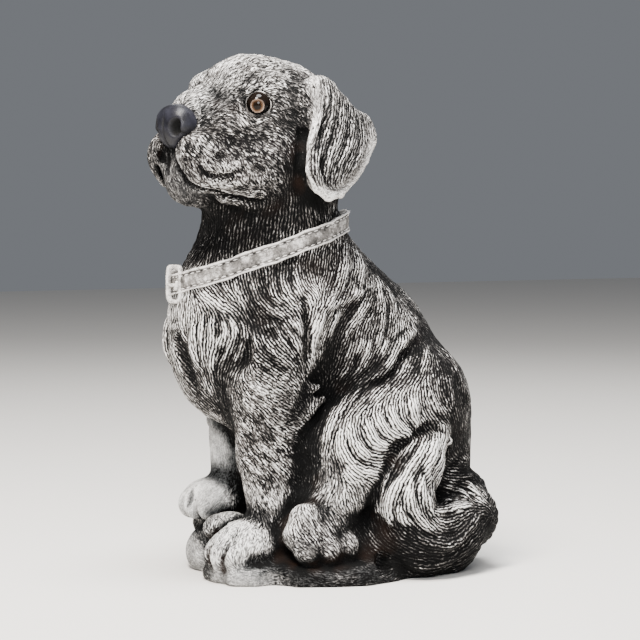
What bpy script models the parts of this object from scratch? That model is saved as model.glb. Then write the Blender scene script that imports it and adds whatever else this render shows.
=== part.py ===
# Seated dog with a collar, cast in one piece of concrete with the low mound it sits on.
# The dog faces -Y, its left side is +X and +Z is up. The casting stands on its flat underside,
# with the origin at the middle of its box, on the ground.

import math
import bpy
import bmesh
import numpy as np

# Driving sizes, in metres
statue_height = 0.250
collar_width = 0.0095
collar_thickness = 0.0024
collar_edge_depth = 0.004
buckle_width = 0.0115
buckle_height = 0.0185
buckle_bar = 0.0024
buckle_thickness = 0.0032
coarse_voxel = 0.0030
fine_voxel = 0.0019
triangle_budget = 8900

# The figure is a free form. It is laid out in pattern units, 250 to the height of the statue.
pattern_height = 250.0
unit = statue_height / pattern_height

# The middle of the figure's box on the ground, in the layout that the masses are placed in
ground_middle = (4.8, -6.1)

# The head turns a little to the dog's left about this point of the neck.
head_turn = math.radians(10.0)
head_pivot = (2.0, -28.2)

# The collar goes round the neck's axis. Its middle is at this height above a point of the chest
# and rises with each step back and to the left.
neck_axis = (0.0, -30.0)
collar_low_point = (5.0, -76.0, 142.0)
collar_slope_back = 0.33
collar_slope_left = 0.1

# Faces are kept small round this point of the face and grow over the fade distance.
face_middle = (40.0, 10.0, 208.0)
face_radius = 30.0
face_fade = 60.0
fewest_on_face = 0.05
face_preference = 0.00015

# Vertices nearer to the ground than this are laid on it.
ground_margin = 0.00003


def head_place(forward, left, up):
    """A point of the head, from its distances forward, left and up, in pattern units."""
    x = head_pivot[0] + forward * math.sin(head_turn) + left * math.cos(head_turn)
    y = head_pivot[1] - forward * math.cos(head_turn) + left * math.sin(head_turn)
    return (x, y, up)


def ball(centre, radii, blend, turn=0.0, lean=0.0):
    """An ellipsoid: turn is about Z and lean about its own X, in degrees."""
    return {"kind": "ball", "centre": centre, "radii": radii, "blend": blend, "turn": turn, "lean": lean}


def hollow(centre, radii, blend, turn=0.0):
    """An ellipsoid that is scooped out of what is listed before it."""
    return {"kind": "hollow", "centre": centre, "radii": radii, "blend": blend, "turn": turn, "lean": 0.0}


def limb(start, end, start_radius, end_radius, blend):
    """A tapered round bar between two points."""
    return {"kind": "limb", "start": start, "end": end, "radii": (start_radius, end_radius), "blend": blend}


def head_ball(forward, left, up, radii, blend, lean=0.0, spread=0.0):
    """An ellipsoid of the head; its radii run forward, left and up."""
    turn = math.degrees(head_turn) + spread
    sizes = (radii[1], radii[0], radii[2])
    return ball(head_place(forward, left, up), sizes, blend, turn, lean)


def head_hollow(forward, left, up, radii, blend):
    """An ellipsoid scooped out of the head."""
    sizes = (radii[1], radii[0], radii[2])
    return hollow(head_place(forward, left, up), sizes, blend, math.degrees(head_turn))


def head_limb(start, end, start_radius, end_radius, blend):
    """A tapered round bar of the head."""
    return limb(head_place(*start), head_place(*end), start_radius, end_radius, blend)


def trunk_masses():
    """Chest, shoulders, neck, ribs and rump."""
    return [
        ball((0, -38, 124), (36, 41, 42), 10),
        ball((0, -40, 104), (32, 35, 34), 12),
        ball((0, -10, 130), (41, 36, 40), 16),
        limb((0, -28, 140), (2, -28, 194), 35, 32, 12),
        ball((0, 18, 100), (42, 40, 46), 16),
        ball((0, 42.5, 66), (43, 36, 46), 16),
        ball((0, 34, 34), (46, 42, 34), 14),
        ball((0, -12, 58), (26, 30, 44), 14),
        ball((24, -20, 46), (16, 24, 40), 8),
        ball((-24, -20, 46), (16, 24, 40), 8),
    ]


def foreleg_masses():
    """The left foreleg stands on the ground, the right one on a rise of the mound."""
    return [
        limb((31, -29, 128), (27, -44, 94), 19, 18, 7),
        limb((27, -44, 94), (24, -40, 60), 17.5, 15, 5),
        limb((24, -40, 60), (26, -37, 30), 15, 14, 5),
        ball((27, -51, 17), (16.5, 20, 12.5), 6, turn=8),
        limb((-30, -29, 128), (-24, -36, 96), 19, 17, 8),
        limb((-24, -36, 96), (-20, -35, 62), 16, 13, 6),
        limb((-20, -35, 62), (-20, -36, 44), 13, 12.5, 5),
        ball((-21, -47, 34), (14, 17, 10.5), 5, turn=-4),
        ball((7, -54, 23), (9, 13, 7.5), 3, turn=6),
    ]


def elbow_masses():
    """Feathered tufts that stand out behind each elbow, one over the other."""
    masses = []
    for side in (1, -1):
        for rank in range(3):
            start = (side * (35 - rank), -37, 99 - 10 * rank)
            tip = (side * (45 - 0.5 * rank), -20, 93 - 5 * rank)
            masses.append(limb(start, tip, 6.5, 1.4, 1.5))
    return masses


def toe_masses():
    """Four toes on each fore paw and three bumps of the left hind foot."""
    toes = []
    for side in (-1.5, -0.5, 0.5, 1.5):
        reach = 69 - 2.2 * side * side
        toes.append(ball((26 + 7.6 * side, 3 - reach - 0.8 * side, 13), (5.2, 8.5, 8.5), 1.6, turn=6 * side))
        reach = 59 - 1.8 * side * side
        toes.append(ball((-21 + 6.4 * side, -reach, 31.5), (4.4, 7.0, 7.0), 1.5, turn=6 * side))
    return toes


def hind_leg_masses():
    """Thighs, shanks and hind feet; the left foot is the one that shows."""
    masses = []
    for side in (1, -1):
        masses.append(limb((side * 24, 38, 82), (side * 34, -3, 62), 29, 24, 7))
        masses.append(limb((side * 42, -6, 50), (side * 45, -20, 34), 17, 12, 7))
        masses.append(ball((side * 47, -25, 24), (14, 21, 13), 5, turn=side * 12))
        masses.append(ball((side * 50, -35, 31), (7, 8, 7), 3))
        masses.append(ball((side * 57, -16, 19), (5.5, 6, 7), 3))
        masses.append(ball((side * 58, -26, 18), (5.0, 5.5, 7), 3))
        masses.append(ball((side * 55, -36, 18), (5.5, 6, 7), 3))
    return masses


def tail_masses():
    """The tail lies on the ground from the rump, runs forward on the left and curls up."""
    points = [
        ((20, 70, 33), 12.5),
        ((38, 61, 25), 15.0),
        ((46, 45, 18), 17.0),
        ((52, 24, 18), 17.5),
        ((53, 16, 38), 14.5),
        ((50, 26, 54), 12.5),
        ((47, 38, 68), 7.5),
    ]
    masses = []
    for first, second in zip(points[:-1], points[1:]):
        masses.append(limb(first[0], second[0], first[1], second[1], 4))
    return masses


def mound_masses():
    """The low uneven ground under the dog, from the fore paws to the tail."""
    return [
        ball((23, -42, 3), (29, 30, 11), 5),
        ball((-14, -34, 8), (28, 30, 19), 5),
        ball((38, -12, 2), (31, 36, 11), 5),
        ball((-32, -4, 3), (28, 42, 14), 6),
        ball((4, 30, 8), (55, 40, 22), 8),
        ball((32, 4, 14), (26, 26, 20), 6),
        limb((40, -66, 3), (52, -44, 3), 4, 4, 4),
        limb((56, -40, 2), (65, -12, 2), 4.5, 4.5, 4),
    ]


def break_masses():
    """The notch in the rim of the mound and the hole broken in it beside the left hind foot."""
    return [
        hollow((57, -53, 3), (10, 8, 9), 3),
        hollow((66, 2, 9), (11, 5.5, 7.5), 1),
    ]


def head_masses():
    """Skull, forehead, muzzle, lips, chin, cheeks and brows."""
    masses = [
        head_ball(4, 0, 216.3, (36, 34, 33), 10),
        head_ball(16, 0, 223.2, (22, 27, 26), 8),
        head_ball(-14, 0, 210, (26, 30, 30), 10),
        head_ball(42, 0, 215.5, (19, 14.5, 19.5), 8),
        head_ball(50.5, 0, 188, (12.5, 10, 9.5), 2.5),
        head_limb((46, 0, 189), (12, 0, 186), 10, 15, 8),
        head_ball(58.0, 0, 215.8, (9.5, 10, 10.8), 0.8),
    ]
    for side in (1, -1):
        masses.append(head_ball(29, side * 12.5, 233.5, (9, 8.5, 8), 5))
        masses.append(head_ball(48, side * 10, 202.5, (15.5, 11.5, 12.5), 4))
        masses.append(head_limb((46, side * 12, 197), (28, side * 21, 193), 12, 13, 5))
        masses.append(head_ball(14, side * 20, 200, (23, 16.5, 20), 7))
        masses.append(head_ball(31, side * 14, 213, (15, 12, 13), 7))
        masses.append(head_hollow(27.5, side * 28.0, 226, (6.0, 6.0, 5.8), 1.0))
        masses.append(head_ball(23.3, side * 22.7, 226, (5.4, 5.4, 5.4), 0.3))
        masses += eyelid_masses(side)
    masses.append(head_hollow(70, 0, 200, (6, 1.6, 10), 2.0))
    return masses


def eyelid_masses(side):
    """A thin ring of lid round the eye, which looks forward and outward."""
    pieces = 12
    lid_radius = 5.6
    middle = (25.9, side * 26.0, 226.0)
    ring = []
    for index in range(pieces + 1):
        angle = 2 * math.pi * index / pieces
        forward = middle[0] + 0.79 * lid_radius * math.cos(angle)
        left = middle[1] - side * 0.61 * lid_radius * math.cos(angle)
        ring.append((forward, left, middle[2] + lid_radius * math.sin(angle)))
    return [head_limb(first, second, 1.1, 1.1, 0.8) for first, second in zip(ring[:-1], ring[1:])]


def ear_masses():
    """Each ear is a hanging leaf with a raised front rim."""
    masses = []
    for side in (1, -1):
        masses.append(head_ball(-5, side * 31, 228, (12, 6.5, 12), 5))
        masses.append(head_ball(-8, side * 36, 215, (14, 6.5, 18), 6))
        masses.append(head_ball(-19, side * 34.5, 211, (18.5, 6.5, 14), 6))
        masses.append(head_ball(-2, side * 40, 197, (12, 6, 14), 6))
        masses.append(head_ball(-13, side * 38, 199, (14, 6, 12), 6))
        rim = [(-3, 30, 237), (-1, 34.5, 230), (1.5, 38.5, 220), (7, 42.5, 206), (9, 44.5, 195),
               (5, 44.5, 187), (-2, 43, 183), (-10, 41, 184), (-19, 39, 191), (-28, 37, 200), (-35, 34, 209)]
        for place, (first, second) in enumerate(zip(rim[:-1], rim[1:])):
            start = (first[0], side * first[1], first[2])
            end = (second[0], side * second[1], second[2])
            width = 3.0 if place < 6 else 2.4
            masses.append(head_limb(start, end, width, width, 1.0))
    return masses


def ball_depth(mass, points):
    """Signed distance to an ellipsoid, by the usual estimate k0 * (k0 - 1) / k1."""
    turn = math.radians(mass["turn"])
    lean = math.radians(mass["lean"])
    x, y, z = (points - np.array(mass["centre"])).T
    across = x * math.cos(turn) + y * math.sin(turn)
    along = -x * math.sin(turn) + y * math.cos(turn)
    side = across
    length = along * math.cos(lean) + z * math.sin(lean)
    rise = -along * math.sin(lean) + z * math.cos(lean)
    a, b, c = mass["radii"]
    near = np.sqrt((side / a) ** 2 + (length / b) ** 2 + (rise / c) ** 2)
    slope = np.sqrt((side / a ** 2) ** 2 + (length / b ** 2) ** 2 + (rise / c ** 2) ** 2)
    return near * (near - 1.0) / np.maximum(slope, 1e-6)


def limb_depth(mass, points):
    """Signed distance to a tapered bar: the distance to its axis less the radius there."""
    start = np.array(mass["start"], dtype=float)
    axis = np.array(mass["end"], dtype=float) - start
    share = np.clip(((points - start) @ axis) / (axis @ axis), 0.0, 1.0)
    gap = np.linalg.norm(points - start - share[:, None] * axis, axis=1)
    first, last = mass["radii"]
    return gap - (first + (last - first) * share)


def soft_union(first, second, blend):
    """The lower of two distances, rounded over the width of the blend."""
    mix = np.maximum(blend - np.abs(first - second), 0.0) / blend
    return np.minimum(first, second) - mix * mix * blend * 0.25


def mass_reach(mass):
    """The middle of a mass and the radius of a sphere that holds it."""
    if mass["kind"] == "limb":
        start = np.array(mass["start"], dtype=float)
        end = np.array(mass["end"], dtype=float)
        return (start + end) / 2, np.linalg.norm(end - start) / 2 + max(mass["radii"])
    return np.array(mass["centre"], dtype=float), max(mass["radii"])


def figure_depth(masses, points):
    """Signed distance to the blended figure, in pattern units."""
    depth = np.full(len(points), 60.0)
    for mass in masses:
        middle, reach = mass_reach(mass)
        gap = np.linalg.norm(points - middle, axis=1) - reach
        scooped = mass["kind"] == "hollow"
        limit = mass["blend"] if scooped else depth + mass["blend"]
        near = np.flatnonzero(gap < limit)
        if len(near) == 0:
            continue
        measure = limb_depth if mass["kind"] == "limb" else ball_depth
        found = measure(mass, points[near])
        if scooped:
            depth[near] = -soft_union(-depth[near], found, mass["blend"])
        else:
            depth[near] = soft_union(depth[near], found, mass["blend"])
    return depth


def settle_points(masses, points, rounds):
    """Move points down the slope of the depth until they lie on the figure's surface."""
    step = 0.05
    for _ in range(rounds):
        depth = figure_depth(masses, points)
        slope = np.empty_like(points)
        for axis in range(3):
            shifted = points.copy()
            shifted[:, axis] += step
            slope[:, axis] = (figure_depth(masses, shifted) - depth) / step
        steepness = np.maximum((slope ** 2).sum(axis=1), 0.2)
        move = np.clip(depth / steepness, -1.5, 1.5)
        points = points - slope * move[:, None]
    return points


def read_points(mesh):
    """The vertices of a mesh, in pattern units."""
    flat = np.empty(len(mesh.vertices) * 3, dtype=np.float32)
    mesh.vertices.foreach_get("co", flat)
    return flat.reshape(-1, 3).astype(float) / unit


def write_points(mesh, points):
    """Put vertices given in pattern units back into the mesh."""
    mesh.vertices.foreach_set("co", (points * unit).astype(np.float32).ravel())
    mesh.update()


def read_normals(mesh):
    """The outward direction at each vertex."""
    flat = np.empty(len(mesh.vertices) * 3, dtype=np.float32)
    mesh.vertex_normals.foreach_get("vector", flat)
    return flat.reshape(-1, 3).astype(float)


def place_curve(controls, count):
    """Points along a smooth curve through the control points."""
    controls = np.array(controls, dtype=float)
    spans = len(controls) - 1
    padded = np.vstack([2 * controls[0] - controls[1], controls, 2 * controls[-1] - controls[-2]])
    places = np.linspace(0.0, spans - 1e-6, count)
    span = places.astype(int)
    share = (places - span)[:, None]
    before, start, end, after = (padded[span + shift] for shift in range(4))
    linear = (end - before) * share
    square = (2 * before - 5 * start + 4 * end - after) * share ** 2
    cube = (3 * start - before - 3 * end + after) * share ** 3
    return start + 0.5 * (linear + square + cube)


def path_distance(path, points, reach):
    """For each point, the distance to a path and the share of the path's length there."""
    distance = np.full(len(points), 1e3)
    share = np.zeros(len(points))
    low = path.min(axis=0) - reach
    high = path.max(axis=0) + reach
    close = np.flatnonzero(((points > low) & (points < high)).all(axis=1))
    near_points = points[close]
    for index in range(len(path) - 1):
        axis = path[index + 1] - path[index]
        along = np.clip(((near_points - path[index]) @ axis) / max(axis @ axis, 1e-9), 0.0, 1.0)
        gap = np.linalg.norm(near_points - path[index] - along[:, None] * axis, axis=1)
        better = gap < distance[close]
        distance[close[better]] = gap[better]
        share[close[better]] = (index + along[better]) / (len(path) - 1)
    return distance, share


def settle_paths(masses, routes, count=13):
    """Smooth curves through the routes' control points, laid on the figure's surface."""
    curves = np.array([place_curve(controls, count) for controls in routes])
    return settle_points(masses, curves.reshape(-1, 3), 3).reshape(curves.shape)


def raise_along(points, path, width, height, pointed=True):
    """Height of a rounded ridge, or of a groove if negative, laid along a path."""
    distance, share = path_distance(path, points, width)
    taper = np.ones(len(points))
    if pointed:
        taper = np.clip(np.sin(np.pi * share ** 0.8), 0.02, 1.0) ** 0.6
    profile = np.maximum(1.0 - (distance / (width * taper)) ** 2, 0.0)
    return height * taper * profile ** 1.5


def fan(first, last, count):
    """Curves spread evenly between two guide curves with as many control points."""
    first = np.array(first, dtype=float)
    last = np.array(last, dtype=float)
    return [first + (last - first) * place for place in np.linspace(0.0, 1.0, count)]


def head_path(*places):
    """Points of the head as a path."""
    return [head_place(*place) for place in places]


def lock_paths():
    """The locks of fur that show from a step away: guide curves, width and height of each bunch."""
    bunches = []

    def bunch(first, last, count, width, height):
        for controls in fan(first, last, count):
            bunches.append((controls, width, height))

    # Curls that sweep back over the left thigh, and the same on the right
    for side in (1, -1):
        bunch([(side * 50, -27, 66), (side * 55, -12, 50), (side * 54, 8, 50), (side * 52, 22, 62)],
              [(side * 47, -14, 84), (side * 55, 0, 76), (side * 54, 16, 78), (side * 48, 32, 88)],
              5, 5.0, 2.2)
        bunch([(side * 44, 30, 98), (side * 50, 10, 88), (side * 48, -8, 78)],
              [(side * 30, 52, 104), (side * 42, 34, 98), (side * 46, 18, 92)], 3, 4.5, 1.8)
    # Long strands of the tail, from its tip round the ground to the rump
    bunch([(47, 36, 70), (56, 20, 48), (66, 20, 22), (60, 40, 10), (48, 60, 14)],
          [(50, 44, 68), (60, 34, 50), (62, 38, 30), (56, 50, 24), (40, 72, 30)], 4, 4.6, 2.4)
    for side in (1, -1):
        # Locks of the upper arm, curving down
        bunch([(side * 20, -70, 128), (side * 26, -66, 112), (side * 24, -62, 98)],
              [(side * 40, -44, 128), (side * 42, -42, 114), (side * 36, -48, 102)], 4, 4.6, 1.8)
        # Long hair of the flank
        bunch([(side * 42, -8, 122), (side * 44, -2, 104), (side * 42, 0, 88)],
              [(side * 38, 30, 124), (side * 42, 22, 108), (side * 44, 10, 96)], 4, 5.0, 1.3)
    # Hair of the chest, in three tiers that hang over one another
    bunch([(-22, -68, 132), (-20, -72, 122), (-16, -74, 112)],
          [(14, -76, 136), (14, -79, 126), (12, -78, 114)], 4, 5.2, 2.0)
    bunch([(-18, -66, 112), (-15, -68, 100), (-10, -66, 90)],
          [(16, -72, 112), (14, -70, 100), (10, -66, 88)], 4, 5.0, 2.0)
    # Hair of the back and of the rump
    for side in (1, -1):
        bunch([(side * 6, 22, 158), (side * 7, 42, 138), (side * 8, 60, 112)],
              [(side * 26, 14, 150), (side * 32, 32, 130), (side * 32, 50, 106)], 3, 5.4, 1.2)
        bunch([(side * 6, 74, 100), (side * 6, 81, 76), (side * 6, 78, 54)],
              [(side * 28, 64, 92), (side * 34, 66, 72), (side * 32, 66, 52)], 3, 5.4, 1.4)
    # Strands of the hanging ears
    for side in (1, -1):
        bunch(head_path((-5, side * 40, 230), (-3, side * 44, 210), (-2, side * 46, 190)),
              head_path((-12, side * 38, 230), (-22, side * 42, 217), (-30, side * 40, 208)), 4, 3.0, 1.0)
    return bunches


def carving_height(masses, points):
    """How far each point of the blended surface is raised or cut, in pattern units."""
    height = np.zeros(len(points))
    locks = lock_paths()
    paths = settle_paths(masses, [controls for controls, width, rise in locks])
    for path, (controls, width, rise) in zip(paths, locks):
        height = np.maximum(height, raise_along(points, path, width, rise))
    grooves = []
    for side in (1, -1):
        # Mouth, from under the nose to its corner, and the fold behind the whisker pad
        mouth = head_path((62, side * 3, 197), (57, side * 11, 190), (46, side * 19, 185),
                          (34, side * 25, 182), (24, side * 30, 182))
        grooves.append((mouth, 2.6, 2.6))
        fold = head_path((40, side * 24, 205), (30, side * 29, 197), (18, side * 34, 198))
        grooves.append((fold, 3.4, 1.4))
        fold = head_path((26, side * 30, 192), (16, side * 36, 194), (12, side * 36, 202))
        grooves.append((fold, 3.2, 1.4))
        # Fold over the eye
        fold = head_path((31, side * 12, 226), (29, side * 18, 234), (20, side * 22, 239))
        grooves.append((fold, 2.6, 1.5))
        # Recess in front of the ear
        recess = head_path((5, side * 31, 236), (8, side * 34, 214),
                           (13, side * 35, 200), (13, side * 35, 186))
        grooves.append((recess, 6.0, 3.2))
    # Groove between the upper lips
    grooves.append((head_path((70, 0, 206), (64, 0, 200), (60, 0, 194)), 2.4, 2.6))
    paths = settle_paths(masses, [controls for controls, width, depth in grooves])
    for path, (controls, width, depth) in zip(paths, grooves):
        height -= raise_along(points, path, width, depth, pointed=False)
    for side in (1, -1):
        # Nostrils
        nostril = np.linalg.norm(points - np.array(head_place(67.5, side * 5.4, 215.5)), axis=1)
        height -= 2.4 * np.exp(-((nostril / 2.6) ** 2))
    return height


def round_primitive():
    """Vertices and faces of a sphere of radius one."""
    shape = bmesh.new()
    bmesh.ops.create_uvsphere(shape, u_segments=20, v_segments=12, radius=1.0)
    points = np.array([vertex.co[:] for vertex in shape.verts])
    faces = [[vertex.index for vertex in face.verts] for face in shape.faces]
    shape.free()
    return points, faces


def mass_copies(mass, sphere):
    """The rough form of a mass: its ellipsoid, or a row of spheres along its axis."""
    if mass["kind"] == "limb":
        first, last = mass["radii"]
        start = np.array(mass["start"], dtype=float)
        end = np.array(mass["end"], dtype=float)
        steps = max(2, int(np.linalg.norm(end - start) / (0.5 * min(first, last))) + 1)
        shares = np.linspace(0.0, 1.0, steps)
        return [start + (end - start) * share + sphere * (first + (last - first) * share) for share in shares]
    turn = math.radians(mass["turn"])
    x, y, z = (sphere * np.array(mass["radii"], dtype=float)).T
    across = x * math.cos(turn) - y * math.sin(turn)
    along = x * math.sin(turn) + y * math.cos(turn)
    return [np.stack([across, along, z], axis=1) + np.array(mass["centre"], dtype=float)]


def rough_mesh(masses):
    """All the masses' primitives in one mesh, overlapping."""
    sphere, sphere_faces = round_primitive()
    points = []
    faces = []
    for mass in masses:
        if mass["kind"] == "hollow":
            continue
        for copy in mass_copies(mass, sphere):
            offset = len(points) * len(sphere)
            faces += [[index + offset for index in face] for face in sphere_faces]
            points.append(copy * unit)
    mesh = bpy.data.meshes.new("figure")
    mesh.from_pydata(np.concatenate(points).tolist(), [], faces)
    return mesh


def new_object(name, mesh, collection):
    """Wrap a mesh in an object of the collection."""
    made = bpy.data.objects.new(name, mesh)
    collection.objects.link(made)
    return made


def bake(target):
    """Apply an object's modifiers and keep the result as its mesh."""
    graph = bpy.context.evaluated_depsgraph_get()
    mesh = bpy.data.meshes.new_from_object(target.evaluated_get(graph))
    target.modifiers.clear()
    target.data = mesh


def remesh(target, voxel):
    """Rebuild the surface of an object with even faces."""
    modifier = target.modifiers.new("even faces", "REMESH")
    modifier.mode = "VOXEL"
    modifier.voxel_size = voxel
    bake(target)


def shape_figure(masses, collection):
    """Join the masses, rebuild their skin and carve it."""
    figure = new_object("dog_statue", rough_mesh(masses), collection)
    for voxel in (coarse_voxel, fine_voxel):
        remesh(figure, voxel)
        write_points(figure.data, settle_points(masses, read_points(figure.data), 4))
    normals = read_normals(figure.data)
    points = read_points(figure.data)
    height = carving_height(masses, points)
    write_points(figure.data, points + normals * height[:, None])
    return figure


def thin_out(figure, budget):
    """Reduce the carved skin to the triangles that the casting is given, most of them on the face."""
    figure.data.calc_loop_triangles()
    points = read_points(figure.data)
    distance = np.linalg.norm(points - np.array(head_place(*face_middle)), axis=1)
    weights = np.clip((distance - face_radius) / face_fade, fewest_on_face, 1.0)
    group = figure.vertex_groups.new(name="coarse")
    levels = 8
    steps = np.ceil(weights * levels).astype(int)
    for level in range(1, levels + 1):
        chosen = np.flatnonzero(steps == level)
        group.add(chosen.tolist(), level / levels, "REPLACE")
    modifier = figure.modifiers.new("fewer faces", "DECIMATE")
    modifier.ratio = budget / len(figure.data.loop_triangles)
    modifier.vertex_group = group.name
    modifier.vertex_group_factor = face_preference
    modifier.use_collapse_triangulate = True
    bake(figure)
    figure.vertex_groups.clear()


def cut_underside(figure):
    """Cut the casting flat on the ground and close the cut."""
    shape = bmesh.new()
    shape.from_mesh(figure.data)
    everything = shape.verts[:] + shape.edges[:] + shape.faces[:]
    bmesh.ops.bisect_plane(shape, geom=everything, plane_co=(0, 0, 0), plane_no=(0, 0, 1),
                           clear_inner=True, dist=ground_margin)
    for vertex in shape.verts:
        if abs(vertex.co.z) < ground_margin:
            vertex.co.z = 0.0
    rim = [edge for edge in shape.edges if edge.is_boundary]
    bmesh.ops.holes_fill(shape, edges=rim, sides=0)
    drop_crumbs(shape)
    bmesh.ops.triangulate(shape, faces=shape.faces[:])
    shape.to_mesh(figure.data)
    shape.free()


def drop_crumbs(shape):
    """Delete every loose bit of skin but the largest."""
    bodies = []
    seen = set()
    for start in shape.verts:
        if start in seen:
            continue
        seen.add(start)
        body = [start]
        for vertex in body:
            for edge in vertex.link_edges:
                other = edge.other_vert(vertex)
                if other not in seen:
                    seen.add(other)
                    body.append(other)
        bodies.append(body)
    bodies.sort(key=len)
    for body in bodies[:-1]:
        bmesh.ops.delete(shape, geom=body, context="VERTS")


def collar_height(x, y):
    """Height of the middle of the collar, which slopes down to the front and to the right."""
    back = collar_slope_back * (y - collar_low_point[1])
    left = collar_slope_left * (x - collar_low_point[0])
    return collar_low_point[2] + back + left


def neck_radius(masses, angles, offset):
    """Distance from the neck's axis to its surface, in the collar's plane moved up by an offset."""
    low = np.full(len(angles), 12.0)
    high = np.full(len(angles), 75.0)
    for _ in range(18):
        middle = (low + high) / 2
        x = middle * np.cos(angles) + neck_axis[0]
        y = middle * np.sin(angles) + neck_axis[1]
        inside = figure_depth(masses, np.stack([x, y, collar_height(x, y) + offset], axis=1)) < 0
        low = np.where(inside, middle, low)
        high = np.where(inside, high, middle)
    return low


def make_collar(masses, collection):
    """A flat strap round the neck: four edges at each of its stations."""
    stations = 44
    angles = np.linspace(0.0, 2 * math.pi, stations, endpoint=False)
    half = collar_width / unit / 2
    reach = np.maximum.reduce([neck_radius(masses, angles, shift * half) for shift in (-0.7, 0.0, 0.7)])
    reach = (np.roll(reach, 1) + 2 * reach + np.roll(reach, -1)) / 4
    outside = reach + collar_thickness / unit
    inside = reach - collar_edge_depth / unit
    shape = bmesh.new()
    rings = []
    for radius, rise in ((inside, -half), (outside, -half), (outside, half), (inside, half)):
        x = radius * np.cos(angles) + neck_axis[0]
        y = radius * np.sin(angles) + neck_axis[1]
        z = collar_height(x, y) + rise
        rings.append([shape.verts.new((px * unit, py * unit, pz * unit)) for px, py, pz in zip(x, y, z)])
    for side in range(4):
        ring = rings[side]
        next_ring = rings[(side + 1) % 4]
        for station in range(stations):
            after = (station + 1) % stations
            shape.faces.new((ring[station], ring[after], next_ring[after], next_ring[station]))
    bmesh.ops.recalc_face_normals(shape, faces=shape.faces[:])
    mesh = bpy.data.meshes.new("collar")
    shape.to_mesh(mesh)
    shape.free()
    return new_object("collar", mesh, collection)


def add_block(shape, centre, sizes):
    """A box added to a shape, in metres."""
    made = bmesh.ops.create_cube(shape, size=1.0)["verts"]
    for vertex in made:
        vertex.co = [centre[axis] + vertex.co[axis] * sizes[axis] for axis in range(3)]


def make_buckle(masses, collection):
    """A frame with two windows, standing on the collar in front of the chest."""
    front = neck_radius(masses, np.array([-math.pi / 2]), 0.0)[0]
    y = (neck_axis[1] - front) * unit - collar_thickness - buckle_thickness / 2
    z = collar_height(0.0, y / unit) * unit
    depth = buckle_thickness + collar_edge_depth
    shape = bmesh.new()
    add_block(shape, (0, y + collar_edge_depth / 2, z), (buckle_width, depth, buckle_height))
    mesh = bpy.data.meshes.new("buckle")
    shape.to_mesh(mesh)
    shape.free()
    buckle = new_object("buckle", mesh, collection)
    bevel = buckle.modifiers.new("worn edges", "BEVEL")
    bevel.width = buckle_bar / 4
    bevel.segments = 1
    window = (buckle_height - 3 * buckle_bar) / 2
    shape = bmesh.new()
    for side in (1, -1):
        centre = (0, y - buckle_thickness / 2, z + side * (window + buckle_bar) / 2)
        add_block(shape, centre, (buckle_width - 2 * buckle_bar, 1.2 * buckle_thickness, window))
    mesh = bpy.data.meshes.new("buckle windows")
    shape.to_mesh(mesh)
    shape.free()
    cutter = new_object("buckle_windows", mesh, collection)
    combine(buckle, cutter, "DIFFERENCE")
    return buckle


def combine(target, other, operation):
    """Join another object to the target or cut it out, and remove it."""
    modifier = target.modifiers.new(other.name, "BOOLEAN")
    modifier.operation = operation
    modifier.solver = "EXACT"
    modifier.object = other
    bake(target)
    bpy.data.objects.remove(other, do_unlink=True)


def finish_surface(figure):
    """Triangulate the casting and put the middle of its box over the origin."""
    shape = bmesh.new()
    shape.from_mesh(figure.data)
    bmesh.ops.triangulate(shape, faces=shape.faces[:])
    shift = (-ground_middle[0] * unit, -ground_middle[1] * unit, 0.0)
    bmesh.ops.translate(shape, verts=shape.verts[:], vec=shift)
    shape.to_mesh(figure.data)
    shape.free()


def concrete():
    """Grey cast concrete, rubbed pale on its ridges."""
    material = bpy.data.materials.new("weathered cast concrete")
    material.use_nodes = True
    shader = material.node_tree.nodes["Principled BSDF"]
    shader.inputs["Base Color"].default_value = (0.23, 0.23, 0.225, 1.0)
    shader.inputs["Roughness"].default_value = 0.85
    shader.inputs["Metallic"].default_value = 0.0
    return material


def clear_scene():
    """Start from an empty scene."""
    for item in list(bpy.data.objects):
        bpy.data.objects.remove(item, do_unlink=True)


def main():
    clear_scene()
    collection = bpy.data.collections.new("seated dog statue")
    bpy.context.scene.collection.children.link(collection)
    masses = trunk_masses() + foreleg_masses() + elbow_masses() + hind_leg_masses()
    masses += mound_masses() + tail_masses() + toe_masses() + break_masses() + head_masses() + ear_masses()
    figure = shape_figure(masses, collection)
    thin_out(figure, triangle_budget)
    cut_underside(figure)
    trunk = trunk_masses()
    combine(figure, make_collar(trunk, collection), "UNION")
    combine(figure, make_buckle(trunk, collection), "UNION")
    finish_surface(figure)
    figure.data.materials.clear()
    figure.data.materials.append(concrete())


main()
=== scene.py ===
# Seated concrete puppy with a carved collar: the finished surfaces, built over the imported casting.

import math
import bmesh
import bpy
import numpy as np
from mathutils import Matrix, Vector
from mathutils.bvhtree import BVHTree


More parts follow.
